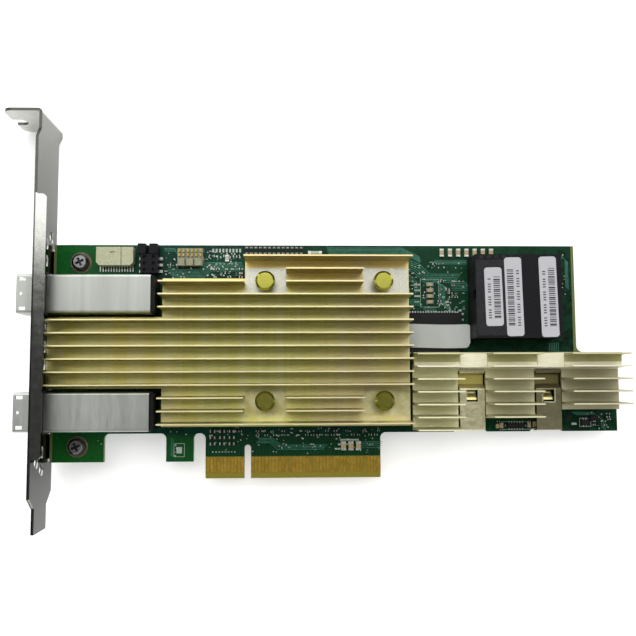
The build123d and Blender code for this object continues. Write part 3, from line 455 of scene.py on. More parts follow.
# Painted highlight for the raised lips round the clip windows.
lip_highlight_steel = speckled(
    "lip_highlight", (0.60, 0.56, 0.38), (0.80, 0.76, 0.56), 1.5, (0.3, 0.45), 0.8, 0.01
)
black_plastic = speckled(
    "black_plastic", (0.003, 0.003, 0.004), (0.011, 0.011, 0.014), 3.0, (0.35, 0.55), 0.0, 0.03,
    gloss=0.12,
)
grey_panel = speckled(
    "dark_grey_plastic", (0.012, 0.012, 0.014), (0.026, 0.026, 0.029), 2.0, (0.45, 0.65), 0.0,
    0.03, gloss=0.12,
)
chip_black = speckled(
    "chip_black", (0.006, 0.006, 0.007), (0.018, 0.018, 0.020), 5.0, (0.5, 0.7), 0.0, 0.02,
    gloss=0.15,
)
foam = speckled("foam", (0.004, 0.004, 0.004), (0.016, 0.016, 0.015), 4.0, (0.8, 0.95), 0.0, 0.08)
paper = speckled("paper", (0.38, 0.38, 0.41), (0.46, 0.46, 0.49), 6.0, (0.6, 0.8), 0.0, 0.01)
ink = speckled("ink", (0.012, 0.012, 0.016), (0.03, 0.03, 0.035), 5.0, (0.6, 0.8), 0.0, 0.005)
film = speckled(
    "grey_film", (0.40, 0.42, 0.41), (0.46, 0.48, 0.47), 0.15, (0.4, 0.6), 0.0, 0.02, (1, 0.5, 1)
)
ivory = speckled("ivory", (0.35, 0.36, 0.22), (0.48, 0.49, 0.33), 2.0, (0.4, 0.6), 0.0, 0.02)
shaded_ivory = speckled(
    "shaded_ivory", (0.19, 0.19, 0.12), (0.30, 0.30, 0.20), 2.0, (0.4, 0.6), 0.0, 0.02
)
ceramic = speckled("ceramic", (0.28, 0.22, 0.11), (0.42, 0.36, 0.21), 3.0, (0.4, 0.6), 0.0, 0.02)
thermal = speckled("thermal_pad", (0.30, 0.30, 0.32), (0.42, 0.42, 0.44), 3.0, (0.7, 0.9))
track = speckled(
    "track", (0.035, 0.140, 0.095), (0.070, 0.230, 0.170), 1.0, (0.25, 0.4), 0.0, 0.005,
    gloss=0.2,
)
dim_track = speckled(
    "dim_track", (0.003, 0.036, 0.012), (0.008, 0.060, 0.026), 1.0, (0.25, 0.4), 0.0, 0.005,
    gloss=0.15,
)
silk = speckled("silkscreen", (0.30, 0.36, 0.31), (0.44, 0.50, 0.45), 4.0, (0.5, 0.7), 0.0, 0.005)

finishes = {
    mask: ("circuit_board",),
    zinc: ("io_bracket",),
    tin: ("port_cage_upper", "port_cage_lower"),
    black_plastic: (
        "port_insert_upper", "port_insert_lower", "inner_port_left", "inner_port_right",
        "jumper_header", "jumper_caps",
    ),
    gold_plate: (
        "edge_contacts", "port_contacts_upper", "port_contacts_lower", "inner_contacts_left",
        "inner_contacts_right",
    ),
    foam: ("port_gasket_upper", "port_gasket_lower"),
    paper: ("port_label_short", "port_label_long", "port_label_end"),
    gold_sink: ("main_heatsink",),
    tan_sink: ("second_heatsink",),
    clip_steel: ("spring_clip_left", "spring_clip_right"),
    brass: ("push_pins",),
    thermal: ("controller_pad", "memory_pads"),
    nickel: ("controller_chip",),
    chip_black: ("memory_chips", "flash_chip", "logic_chips", "under_chips"),
    ivory: ("cable_header",),
    shaded_ivory: ("led_header",),
    tinned: ("cable_header_pins", "jumper_terminals", "port_tails"),
    dull_gold: ("led_pins",),
    chrome: ("bracket_screws",),
}
for material, names in finishes.items():
    for name in names:
        nodes[name].data.materials.clear()
        nodes[name].data.materials.append(material)


# How far a crowned top is drawn in, as a share of the crown's height.
CROWN_DRAW = 1.2


def circle(centre, radius, sides):
    """The points of a circle, in metres, from a radius in millimetres."""
    return [
        (centre.x + radius * MM * math.cos(2 * math.pi * i / sides),
         centre.y + radius * MM * math.sin(2 * math.pi * i / sides))
        for i in range(sides)
    ]


def rounded(centre, width, depth, radius, steps=5):
    """The outline of a rectangle with rounded corners, in metres, from sizes in millimetres."""
    outline = []
    for quarter, (sx, sy) in enumerate(((1, 1), (-1, 1), (-1, -1), (1, -1))):
        corner_x = centre.x + sx * (width / 2 - radius) * MM
        corner_y = centre.y + sy * (depth / 2 - radius) * MM
        for i in range(steps + 1):
            angle = math.pi / 2 * (quarter + i / steps)
            outline.append((
                corner_x + radius * MM * math.cos(angle), corner_y + radius * MM * math.sin(angle)
            ))
    return outline


class Piece:
    """One mesh made of blocks, prisms, ribbons, rings and tubes."""

    def __init__(self, name, *materials, slot=None, smooth=False):
        self.name = name
        self.materials = materials
        self.slot = slot
        self.smooth = smooth
        self.paint = 0
        self.mesh = bmesh.new()

    def face(self, corners):
        self.mesh.faces.new(corners).material_index = self.paint

    def wall(self, first, second):
        """Faces between two closed rows of corners."""
        for i in range(len(first)):
            j = (i + 1) % len(first)
            self.face([first[i], first[j], second[j], second[i]])

    def loft(self, rows):
        """A closed body through rows of points."""
        rows = [[self.mesh.verts.new(point) for point in row] for row in rows]
        for first, second in zip(rows, rows[1:]):
            self.wall(first, second)
        self.face(list(reversed(rows[0])))
        self.face(rows[-1])

    def prism(self, outline, low, high, crown=0.0):
        """A closed outline of (x, y) from a low level to a high one, its top drawn in by crown."""
        middle = Vector((sum(p[0] for p in outline), sum(p[1] for p in outline))) / len(outline)
        levels = [(low, 0.0), (high - crown, 0.0)]
        if crown:
            levels.append((high, crown))
        rows = []
        for level, inset in levels:
            row = []
            for x, y in outline:
                away = Vector((x, y)) - middle
                spot = middle + away * (1 - inset * CROWN_DRAW / away.length)
                row.append((spot.x, spot.y, level))
            rows.append(row)
        self.loft(rows)

    def block(self, centre, width, depth, low, high, turn=0.0, crown=0.0):
        """A block whose sides are in millimetres, and its levels in metres."""
        half_w, half_d = width * MM / 2, depth * MM / 2
        cos, sin = math.cos(turn), math.sin(turn)
        outline = [
            (centre.x + sx * half_w * cos - sy * half_d * sin,
             centre.y + sx * half_w * sin + sy * half_d * cos)
            for sx, sy in ((-1, -1), (1, -1), (1, 1), (-1, 1))
        ]
        self.prism(outline, low, high, crown * MM)

    def disc(self, centre, radius, low, high, sides=16):
        self.prism(circle(centre, radius, sides), low, high)

    def ring(self, centre, inner, outer, low, high, sides=40):
        """A flat washer."""
        loops = [
            [self.mesh.verts.new((x, y, level)) for x, y in circle(centre, radius, sides)]
            for radius, level in ((inner, low), (outer, low), (outer, high), (inner, high))
        ]
        for first, second in zip(loops, loops[1:] + loops[:1]):
            self.wall(first, second)

    def ribbon(self, points, width, low, high):
        """A flat track along a line of points, each corner turned halfway between its runs."""
        rows = []
        for i, point in enumerate(points):
            before = points[max(i - 1, 0)]
            after = points[min(i + 1, len(points) - 1)]
            along = Vector((after.x - before.x, after.y - before.y)).normalized()
            across = Vector((-along.y, along.x)) * (width * MM / 2)
            left_x, left_y = point.x + across.x, point.y + across.y
            right_x, right_y = point.x - across.x, point.y - across.y
            rows.append([
                (left_x, left_y, high), (right_x, right_y, high),
                (right_x, right_y, low), (left_x, left_y, low),
            ])
        self.loft(rows)

    def tube(self, points, radius, sides=10):
        """A round wire along points."""
        rows = []
        for i, point in enumerate(points):
            ahead = points[min(i + 1, len(points) - 1)] - points[max(i - 1, 0)]
            ahead.normalize()
            side = ahead.cross(Vector((0, 0, 1))).normalized()
            up = side.cross(ahead)
            rows.append([
                point
                + side * math.cos(2 * math.pi * k / sides) * radius * MM
                + up * math.sin(2 * math.pi * k / sides) * radius * MM
                for k in range(sides)
            ])
        self.loft(rows)

    def done(self, *stands_for):
        """Makes the finished object, which rides on the card's one body."""
        bmesh.ops.recalc_face_normals(self.mesh, faces=self.mesh.faces)
        data = bpy.data.meshes.new(self.name)
        self.mesh.to_mesh(data)
        self.mesh.free()
        for material in self.materials:
            data.materials.append(material)
        data.polygons.foreach_set("use_smooth", [self.smooth] * len(data.polygons))
        thing = bpy.data.objects.new(self.name, data)
        bpy.context.scene.collection.objects.link(thing)
        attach(thing, "root")
        if stands_for:
            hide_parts(*stands_for)


def solids_of(name):
    """The box of each separate solid in a CAD node, in metres."""
    mesh = bmesh.new()
    mesh.from_mesh(nodes[name].data)
    bmesh.ops.remove_doubles(mesh, verts=mesh.verts, dist=1e-6)
    waiting = set(mesh.verts)
    boxes = []
    while waiting:
        group = [waiting.pop()]
        for vertex in group:
            for edge in vertex.link_edges:
                other = edge.other_vert(vertex)
                if other in waiting:
                    waiting.remove(other)
                    group.append(other)
        low = Vector([min(v.co[i] for v in group) for i in range(3)])
        high = Vector([max(v.co[i] for v in group) for i in range(3)])
        boxes.append((low, high))
    mesh.free()
    return sorted(boxes, key=lambda box: (round(box[0].x, 6), round(box[0].y, 6)))


def long_first(low, high):
    """A box's longer and shorter side in millimetres, and 1 if the longer lies along X, else -1."""
    size_x, size_y = (high.x - low.x) / MM, (high.y - low.y) / MM
    return max(size_x, size_y), min(size_x, size_y), 1 if size_x >= size_y else -1


# Chip parts with metal ends, in place of the CAD blocks. A pair is a size along the part and
# one across it, and [::order] turns it into sizes along X and Y.
END_SHARE = 0.22
END_COVER = 0.8
BODY_INSET = 0.03


def ended_parts(name, node, body, slot, ends):
    """Each solid of a node as a body between two metal ends."""
    piece = Piece(name, body, ends, slot=slot)
    for low, high in solids_of(node):
        middle = (low + high) / 2
        length, width, order = long_first(low, high)
        end = length * END_SHARE
        piece.paint = 0
        sides = (length - 2 * END_COVER * end, width - 2 * BODY_INSET)[::order]
        piece.block(middle, *sides, low.z, high.z - BODY_INSET * MM, crown=0.05)
        piece.paint = 1
        for side in (-1, 1):
            shift = (side * (length - end) / 2 * MM, 0)[::order]
            spot = middle + Vector((*shift, 0))
            piece.block(spot, *(end, width)[::order], low.z, high.z, crown=0.04)
    piece.done(node)


ended_parts("cream_capacitor_bodies", "cream_capacitors", ceramic, "ceramic", tinned)
ended_parts("resistor_pack_bodies", "resistor_packs", chip_black, "dark_ceramic", dim_tin)
ended_parts("resistor_array_bodies", "resistor_array", ceramic, "ceramic", dim_tin)
ended_parts("ferrite_bodies", "ferrite_beads", silk, "dark_ceramic", tinned)
ended_parts("tab_resistor_bodies", "tab_resistors", chip_black, "dark_ceramic", tinned)
ended_parts("bar_capacitor_bodies", "bar_capacitors", ceramic, "ceramic", tinned)
ended_parts("under_capacitor_bodies", "under_capacitors", ceramic, "ceramic", tinned)

# Springs under the pin heads, as smooth coils.
COIL_TURNS = 3
COIL_STEPS = 24
WIRE_RADIUS = 0.25
coils = Piece("spring_coils", spring_wire, slot="spring_steel", smooth=True)
for low, high in solids_of("pin_springs"):
    middle = (low + high) / 2
    radius = (high.x - low.x) / 2 - WIRE_RADIUS * MM
    bottom = low.z + WIRE_RADIUS * MM
    rise = high.z - low.z - 2 * WIRE_RADIUS * MM
    steps = COIL_TURNS * COIL_STEPS
    wire = []
    for i in range(steps + 1):
        angle = 2 * math.pi * i / COIL_STEPS
        wire.append(Vector((
            middle.x + radius * math.cos(angle),
            middle.y + radius * math.sin(angle),
            bottom + rise * i / steps,
        )))
    coils.tube(wire, WIRE_RADIUS)
coils.done("pin_springs")

# Rings that the lathe left on the pin heads, by their inner and outer radius.
HEAD_RINGS = ((0.45, 0.75), (1.15, 1.3), (1.75, 2.0))
HEAD_RING_RISE = 0.04
turned = Piece("pin_head_rings", brass, slot="brass")
for low, high in solids_of("push_pins"):
    for inner, outer in HEAD_RINGS:
        turned.ring(
            (low + high) / 2, inner, outer, high.z - HEAD_RING_RISE * MM,
            high.z + HEAD_RING_RISE * MM,
        )
turned.done()

# Milled floors round the four pins: bare in the upper two, thinly anodised in the lower two.
SINK_FLOOR = 4.3
MILL_RISE = 0.04
POCKETS = ((62.9, 12.0), (98.1, 13.4))
POCKET_DEPTH = 7.4
POCKET_CORNER = 0.5
mill_z = FACE + SINK_FLOOR * MM
for name, finish, drop in (("upper", bare_bright, 11.2), ("lower", bare_gold, 46.9)):
    floors = Piece(f"milled_floors_{name}", finish, slot="gold_anodised")
    for along, width in POCKETS:
        outline = rounded(place(along, drop), width, POCKET_DEPTH, POCKET_CORNER)
        floors.prism(outline, mill_z - MILL_RISE * MM, mill_z + MILL_RISE * MM)
    floors.done()

# Ridges on the second heat sink's rail, full width where it crosses the clip bays, pale as a
# painted highlight.
RAIL_TOP = 5.6
RAIL_RUNS = ((106.0, 119.3), (127.5, 142.0), (150.2, 167.2))
RAIL_DROP = 35.95
CLIPS_ALONG = (123.4, 146.1)
BAY_DROP = 34.75
ridges = Piece("rail_ridges", rail_highlight, slot="tan_anodised")
rail_z = FACE + RAIL_TOP * MM
rail_parts = [
    ((start + end) / 2, RAIL_DROP, end - start, 1.5, 0.35, 0.12) for start, end in RAIL_RUNS
]
rail_parts += [(along, BAY_DROP, 8.1, 4.2, 0.4, 0.2) for along in CLIPS_ALONG]
for along, drop, width, depth, rise, crown in rail_parts:
    ridges.block(place(along, drop), width, depth, rail_z, rail_z + rise * MM, crown=crown)
ridges.done()

# A raised panel, a row of ribs and a seam on the internal ports.
PORT_TOP = 9.5
PANEL_RISE = 0.05
SEAM_RISE = 0.06
RIB_PITCH = 2.2
RIB_COUNT = 5
port_z = FACE + PORT_TOP * MM
panels = Piece("inner_port_panels", grey_panel, slot="black_plastic")
panels.prism(rounded(place(129.75, 16.7), 12.2, 22.0, 0.4), port_z, port_z + PANEL_RISE * MM)
for index in range(RIB_COUNT):
    spot = place(125.3 + index * RIB_PITCH, 4.85)
    panels.block(spot, 1.2, 0.9, port_z, port_z + PANEL_RISE * MM, crown=0.02)
panels.block(place(136.9, 16.4), 0.35, 23.6, port_z, port_z + SEAM_RISE * MM, crown=0.03)
panels.done()

# A bent tongue seen through the window of each clip: its drop and rise at each bend.
TONGUE_BENDS = ((43.4, 0.7), (44.4, 0.9), (45.6, 1.8), (46.3, 2.1))
TONGUE_HALF = 1.55
TONGUE_SHEET = 0.3
tongues = Piece("clip_tongues", bare_gold, slot="clip_steel")
sheet = Vector((0, 0, TONGUE_SHEET * MM))
for along in CLIPS_ALONG:
    rows = []
    for drop, rise in TONGUE_BENDS:
        left = place(along - TONGUE_HALF, drop, rise)
        right = place(along + TONGUE_HALF, drop, rise)
        rows.append((left, right, right - sheet, left - sheet))
    tongues.loft(rows)
tongues.done()

# A raised lip at the sides and the foot of each clip window, brighter than the clip as a painted
# highlight.
LIP_WIDTH = 0.3
LIP_SINK = 0.05
LIP_RISE = 0.06
WINDOW_LIPS = (
    (1.85, 45.05, LIP_WIDTH, 3.9), (0.2, 47.0, 3.4, LIP_WIDTH), (-1.85, 45.9, LIP_WIDTH, 2.2)
)
lips = Piece("clip_lips", lip_highlight_steel, slot="clip_steel")
for node in ("spring_clip_left", "spring_clip_right"):
    low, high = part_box(node)
    along = ((low.x + high.x) / 2 - LEFT) / MM
    for shift, drop, width, depth in WINDOW_LIPS:
        lips.block(
            place(along + shift, drop), width, depth, high.z - LIP_SINK * MM,
            high.z + LIP_RISE * MM, crown=0.05,
        )
lips.done()

# The grey strip, a thin film that waves a little along its length and lifts at its far end.
STRIP_STEPS = 40
STRIP_WAVE = 0.35
WAVE_ANGLE = 4.2
STRIP_CORNER = 1.5
UPPER_CORNER_SHARE = 0.25
LOWER_INSET = 0.2
STRIP_LIFT = 1.6
STRIP_RIPPLE = 0.12
RIPPLE_ANGLE = 5.0
FILM_THICKNESS = 0.12
strip_low, strip_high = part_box("grey_strip")
strip_length = strip_high.x - strip_low.x
strip = Piece("grey_film_strip", film, slot="grey_film")
rows = []
for i in range(STRIP_STEPS + 1):
    share = i / STRIP_STEPS
    x = strip_low.x + strip_length * share
    wave = STRIP_WAVE * MM * (math.cos(share * WAVE_ANGLE) - 1) / 2
    into_corner = STRIP_CORNER - (strip_high.x - x) / MM
    cut = 0.0
    if into_corner > 0:
        cut = STRIP_CORNER - math.sqrt(max(STRIP_CORNER**2 - into_corner**2, 0))
    lift = (STRIP_RIPPLE * math.sin(share * RIPPLE_ANGLE) ** 2 + STRIP_LIFT * share**2) * MM
    y_high = strip_high.y + wave - cut * UPPER_CORNER_SHARE * MM
    y_low = strip_low.y + wave + (LOWER_INSET + cut) * MM
    z_low = strip_low.z + lift
    z_high = z_low + FILM_THICKNESS * MM
    rows.append(((x, y_low, z_low), (x, y_high, z_low), (x, y_high, z_high), (x, y_low, z_high)))
strip.loft(rows)
strip.done("grey_strip")

# Labels on the internal ports carry plain bars: one broad row and one thin row, over a share
# of the label's length.
BAR_RISE = 0.02
BAR_SHARE = 0.72
BAR_DEPTH = 0.18
BAR_GAP = 0.24
BAR_LEAN = math.radians(1.0)
BROAD_SHIFT = 0.95
BROAD_WIDTH = 1.9
THIN_SHIFT = 1.25
THIN_WIDTH = 0.85
THIN_DEPTH = 0.32
THIN_PITCH = 0.75
THIN_GROUP = 5
bars = Piece("label_bars", ink, slot="paper")


def label_bar(low, high, shift, run, width, depth):
    """A bar on a label, shifted across it and run along it from its middle, in millimetres."""
    middle = (low + high) / 2
    spot = middle + Vector((shift - run * math.sin(BAR_LEAN), run, 0)) * MM
    bars.block(spot, width, depth, high.z, high.z + BAR_RISE * MM, BAR_LEAN)


def now_and_then(index, rate):
    """1 or 0, changing with the index at a rate."""
    return int(math.sin(index * rate) > 0)


for node, side in (("port_label_short", 1), ("port_label_long", -1), ("port_label_end", 1)):
    low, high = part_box(node)
    reach = (high.y - low.y) / MM * BAR_SHARE
    run = -reach / 2
    index = 0
    while run < reach / 2:
        depth = BAR_DEPTH + 0.14 * now_and_then(index, 2.4) + 0.10 * now_and_then(index, 1.1)
        label_bar(low, high, side * BROAD_SHIFT, run, BROAD_WIDTH, depth)
        run += depth + BAR_GAP + 0.12 * now_and_then(index, 1.7)
        index += 1
    for step in range(int(reach / THIN_PITCH)):
        if (step + 1) % THIN_GROUP:
            run = -reach / 2 + step * THIN_PITCH
            label_bar(low, high, -side * THIN_SHIFT, run, THIN_WIDTH, THIN_DEPTH)
bars.done()

# Tracks under the mask, as raised lines, in bundles of so many, a step apart.
TRACK_RISE = 0.03
TRACK_WIDTH = 0.18
STUB_WIDTH = 0.2
STUB_TURN = 0.9
tracks = Piece("board_tracks", track, dim_track, slot="board")


def bundle(points, count, step):
    """Parallel tracks along points of (along, drop), each moved by a step from the last."""
    for index in range(count):
        line = [place(a + step[0] * index, d + step[1] * index) for a, d in points]
        tracks.ribbon(line, TRACK_WIDTH, FACE, FACE + TRACK_RISE * MM)


bundle([(33.5, 7.4), (42.5, 7.4), (45.0, 5.2), (55.5, 5.2)], 7, (0.25, 0.42))
bundle([(32.5, 1.0), (35.5, 1.0), (36.2, 1.8), (44.0, 1.8)], 3, (0.0, 0.38))
bundle([(81.0, 0.7), (103.5, 0.7), (109.0, 3.4)], 5, (0.1, 0.42))
bundle([(105.5, 4.4), (109.0, 5.6), (112.0, 8.6), (121.5, 8.6)], 6, (-0.35, 0.5))
bundle([(106.0, 9.2), (108.0, 10.8), (108.6, 14.0)], 3, (-0.45, 0.3))
bundle([(113.5, 4.6), (124.0, 4.6)], 3, (0.2, 0.45))
bundle([(105.3, 16.4), (108.4, 16.4), (110.2, 18.8), (113.5, 18.8)], 5, (0.2, 0.4))
bundle([(112.8, 10.6), (115.2, 12.0), (115.2, 17.2), (117.6, 19.6)], 4, (0.42, 0.1))
bundle([(118.0, 11.0), (123.2, 11.0)], 6, (0.15, 0.5))
bundle([(149.3, 3.0), (152.4, 3.0), (153.4, 4.2), (153.4, 12.5)], 3, (0.35, 0.35))
bundle([(60.0, 58.6), (64.0, 58.6), (66.2, 60.6), (80.0, 60.6)], 4, (0.3, -0.42))
bundle([(90.5, 60.2), (96.5, 60.2)], 4, (0.2, -0.55))
bundle([(35.2, 57.0), (35.2, 62.4)], 2, (0.5, 0.2))
bundle([(147.8, 29.4), (147.8, 32.0)], 6, (0.55, 0.0))
bundle([(154.0, 50.2), (160.5, 50.2), (163.0, 52.4), (163.0, 54.9)], 3, (0.5, 0.35))

# Short stubs from the gold fingers' upper ends, of uneven length and lean.
tracks.paint = 1
for low, high in solids_of("edge_contacts"):
    if low.z < UNDER:
        continue
    middle_x = (low.x + high.x) / 2
    lean = 0.5 * math.sin(middle_x / MM * 0.9)
    stub = 1.6 + 1.4 * abs(math.sin(middle_x / MM * 2.1))
    line = [
        Vector((middle_x + shift * MM, high.y + run * MM, 0))
        for shift, run in ((0, 0), (0, stub), (lean, stub + STUB_TURN))
    ]
    tracks.ribbon(line, STUB_WIDTH, FACE, FACE + TRACK_RISE * MM)
tracks.done()

# Bare rings round the screws, by their inner and outer radius.
SCREW_RING = (2.5, 3.1)
SCREW_RING_RISE = 0.04
rings = Piece("screw_pad_rings", ring_copper, slot="tinned")
for low, high in solids_of("bracket_screws"):
    rings.ring((low + high) / 2, *SCREW_RING, FACE, FACE + SCREW_RING_RISE * MM)
rings.done()

# Plated holes scattered over the open board. A zone is where it starts and ends along the
# board, its upper and lower drop, and a count.
PAD_RISE = 0.035
PAD_RADII = (0.12, 0.16, 0.2)
PAD_ZONES = (
    (33.0, 44.5, 2.2, 9.8, 34),
    (45.0, 55.0, 2.0, 9.5, 46),
    (105.5, 123.0, 5.0, 20.0, 70),
    (46.2, 97.0, 54.4, 61.8, 90),
    (34.5, 40.5, 54.5, 63.0, 8),
    (149.0, 153.5, 2.0, 31.0, 14),
    (156.5, 166.5, 50.3, 55.2, 16),
    (2.0, 15.0, 56.0, 63.0, 4),
)
pads = Piece("plated_pads", tinned, slot="tinned")
for start, end, upper, lower, count in PAD_ZONES:
    for index in range(count):
        spot = place(draw.uniform(start, end), draw.uniform(upper, lower))
        pads.disc(spot, draw.choice(PAD_RADII), FACE, FACE + PAD_RISE * MM, 8)
pads.done()

# Solder side: round joints at the headers and ports, and plated holes.
JOINT_DEPTH = 0.32
HEADER_JOINT = 0.42
PORT_JOINT = 0.34
HOLE_DEPTH = 0.04
HOLE_RADII = (0.14, 0.18, 0.22)
HOLE_COUNT = 260
joints = Piece("solder_joints", tinned, slot="tinned")


def joint_field(along, drop, columns, rows, pitch, row_pitch, radius):
    """Columns and rows of joints round a middle."""
    for column in range(columns):
        for row in range(rows):
            spot = place(
                along + (column - (columns - 1) / 2) * pitch,
                drop + (row - (rows - 1) / 2) * row_pitch,
            )
            joints.disc(spot, radius, UNDER - JOINT_DEPTH * MM, UNDER, 10)


joint_field(40.25, 3.4, 6, 2, 1.25, 1.3, HEADER_JOINT)
for drop in (15.65, 49.05):
    for along, columns in ((8.0, 5), (22.0, 8)):
        joint_field(along, drop, columns, 6, 1.5, 1.5, PORT_JOINT)
for along in (129.75, 142.4):
    joint_field(along, 20.0, 6, 7, 1.5, 2.0, PORT_JOINT)
for index in range(HOLE_COUNT):
    spot = place(draw.uniform(13.0, 152.0), draw.uniform(1.5, 54.0))
    joints.disc(spot, draw.choice(HOLE_RADII), UNDER - HOLE_DEPTH * MM, UNDER, 8)
joints.done()

# Silkscreen: part outlines, ticks and plain bars, with no letters.
SILK_RISE = 0.025
MARK_PITCH = 1.1
MARK_ROW = 0.6
marks = Piece("silkscreen_marks", silk, slot="board")


def bar_mark(along, drop, width, depth):
    marks.block(place(along, drop), width, depth, FACE, FACE + SILK_RISE * MM)


def frame_mark(along, drop, width, depth, line=0.12):
    """A thin outline of a part."""
    for side in (-1, 1):
        bar_mark(along, drop + side * depth / 2, width, line)
        bar_mark(along + side * width / 2, drop, line, depth)


# Single bars, outlines and even rows, by place and size.
for along, drop, width, depth in (
    (124.1, 14.0, 0.14, 18.0), (118.0, 5.0, 12.0, 0.12), (37.5, 60.6, 1.6, 1.8),
    (154.6, 53.6, 1.5, 0.6), (87.4, 57.9, 5.6, 0.5), (85.8, 59.2, 3.6, 0.5),
    (83.8, 60.5, 1.7, 0.5), (116.0, 15.6, 0.9, 0.6), (117.2, 17.0, 0.9, 0.6),
    (118.6, 20.6, 0.9, 0.6), (119.6, 20.4, 0.9, 0.6), (121.0, 19.6, 0.9, 0.6),
):
    bar_mark(along, drop, width, depth)
for along, drop, width, depth in (
    (111.9, 14.4, 5.6, 8.4), (37.5, 60.6, 3.0, 3.8), (137.0, 54.0, 8.6, 2.3),
    (158.0, 53.2, 3.4, 2.4),
):
    frame_mark(along, drop, width, depth)
for count, along, drop, pitch, width, depth in (
    (9, 47.0, 1.6, 1.0, 0.55, 1.1), (6, 48.0, 5.6, 1.15, 0.6, 0.4),
    (8, 47.2, 61.2, 0.95, 0.5, 0.35),
):
    for index in range(count):
        bar_mark(along + index * pitch, drop, width, depth)
# Uneven rows and two dots.
for index in range(9):
    bar_mark(47.3 + index * 0.95, 3.2 + 0.2 * (index % 3), 0.35, 0.7)
for index in range(12):
    bar_mark(151.2, 8.0 + index * 1.5, 0.8, 0.22 + 0.3 * (index % 3 == 0))
for row in range(4):
    bar_mark(108.2, 11.8 + row * 1.75, 1.9, 0.5)
for drop in (20.7, 22.4):
    marks.disc(place(121.8, drop), 0.35, FACE, FACE + SILK_RISE * MM)
# Short bars by chance on a grid, in zones like those of the plated holes.
for start, end, upper, lower, count in (
    (33.4, 38.0, 6.0, 9.4, 10),
    (42.5, 46.5, 0.8, 6.4, 14),
    (46.6, 55.2, 6.3, 9.4, 16),
    (105.4, 108.6, 4.0, 15.0, 18),
    (115.0, 123.4, 9.6, 20.8, 30),
    (58.0, 84.0, 54.6, 57.4, 16),
):
    for index in range(count):
        along = round(draw.uniform(start, end) / MARK_PITCH) * MARK_PITCH
        drop = round(draw.uniform(upper, lower) / MARK_ROW) * MARK_ROW
        bar_mark(along, drop, draw.uniform(0.4, 0.9), draw.uniform(0.16, 0.26))
marks.done()

# Small parts that only show as detail: bodies with bright ends, by chance on a grid and clear
# of each other, and a few larger ones by place and size.
BLACK, METAL, PALE = range(3)
PART_PITCH = 0.85
PART_ROW = 1.2
CLEAR_ALONG = 1.5
CLEAR_DROP = 1.1
TRIES_EACH = 6
PART_SIZES = ((1.0, 0.5, 0.35), (1.0, 0.5, 0.5), (0.8, 0.45, 0.35))
PART_BODY_SHARE = 0.55
PART_CAP_SHARE = 0.24
PART_CAP_SHIFT = 0.38
PART_ZONES = (
    (46.5, 55.4, 6.4, 9.6, 9),
    (114.0, 122.4, 10.0, 18.4, 9),
    (59.5, 97.0, 55.0, 57.0, 26),
    (46.0, 55.8, 54.4, 56.0, 7),
    (130.4, 133.6, 52.4, 55.0, 4),
    (140.4, 142.6, 52.4, 55.0, 3),
    (160.5, 166.0, 50.6, 54.8, 5),
    (33.5, 41.0, 5.6, 6.6, 5),
)
LARGE_PARTS = (
    (132.6, 53.9, 1.1, 1.5), (131.4, 54.1, 0.8, 1.3), (140.9, 53.7, 1.0, 1.6),
    (142.6, 53.6, 1.0, 1.5), (160.6, 52.0, 2.4, 1.5), (152.6, 51.6, 1.4, 1.0),
)
LARGE_RISE = 0.7
PALE_UNDER = 1.3
small = Piece("small_parts", chip_black, tinned, ceramic, slot="dark_ceramic")
taken = []
for start, end, upper, lower, count in PART_ZONES:
    for attempt in range(count * TRIES_EACH):
        if count == 0:
            break
        along = round(draw.uniform(start, end) / PART_PITCH) * PART_PITCH
        drop = round(draw.uniform(upper, lower) / PART_ROW) * PART_ROW
        if any(abs(along - a) < CLEAR_ALONG and abs(drop - d) < CLEAR_DROP for a, d in taken):
            continue
        taken.append((along, drop))
        count -= 1
        length, width, rise = draw.choice(PART_SIZES)
        small.paint = draw.choice((BLACK, BLACK, PALE))
        body = length * PART_BODY_SHARE
        small.block(place(along, drop), body, width - 0.04, FACE, FACE + (rise - 0.02) * MM)
        small.paint = METAL
        cap = length * PART_CAP_SHARE
        for side in (-1, 1):
            spot = place(along + side * length * PART_CAP_SHIFT, drop)
            small.block(spot, cap, width, FACE, FACE + rise * MM, crown=0.03)
for along, drop, length, width in LARGE_PARTS:
    small.paint = PALE if length < PALE_UNDER else BLACK
    small.block(place(along, drop), length, width, FACE, FACE + LARGE_RISE * MM, crown=0.06)
small.done()

# Flat feet along the logic chips, the flash chip and the solder side's chips.
LEG_PITCH = 0.8
LEG_RISE = 0.18
LEG_OUT = 0.25
LEG_SIDES = (0.32, 0.6)
legs = Piece("chip_legs", tinned, slot="tinned")
for node in ("logic_chips", "flash_chip", "under_chips"):
    leg_low = UNDER - LEG_RISE * MM if node == "under_chips" else FACE
    for low, high in solids_of(node):
        length, width, order = long_first(low, high)
        count = max(int(length / LEG_PITCH), 2)
        for index in range(count):
            shift = (index - (count - 1) / 2) * LEG_PITCH
            for side in (-1, 1):
                offset = (shift, side * (width / 2 + LEG_OUT))[::order]
                spot = (low + high) / 2 + Vector((*offset, 0)) * MM
                legs.block(spot, *LEG_SIDES[::order], leg_low, leg_low + LEG_RISE * MM)
legs.done()

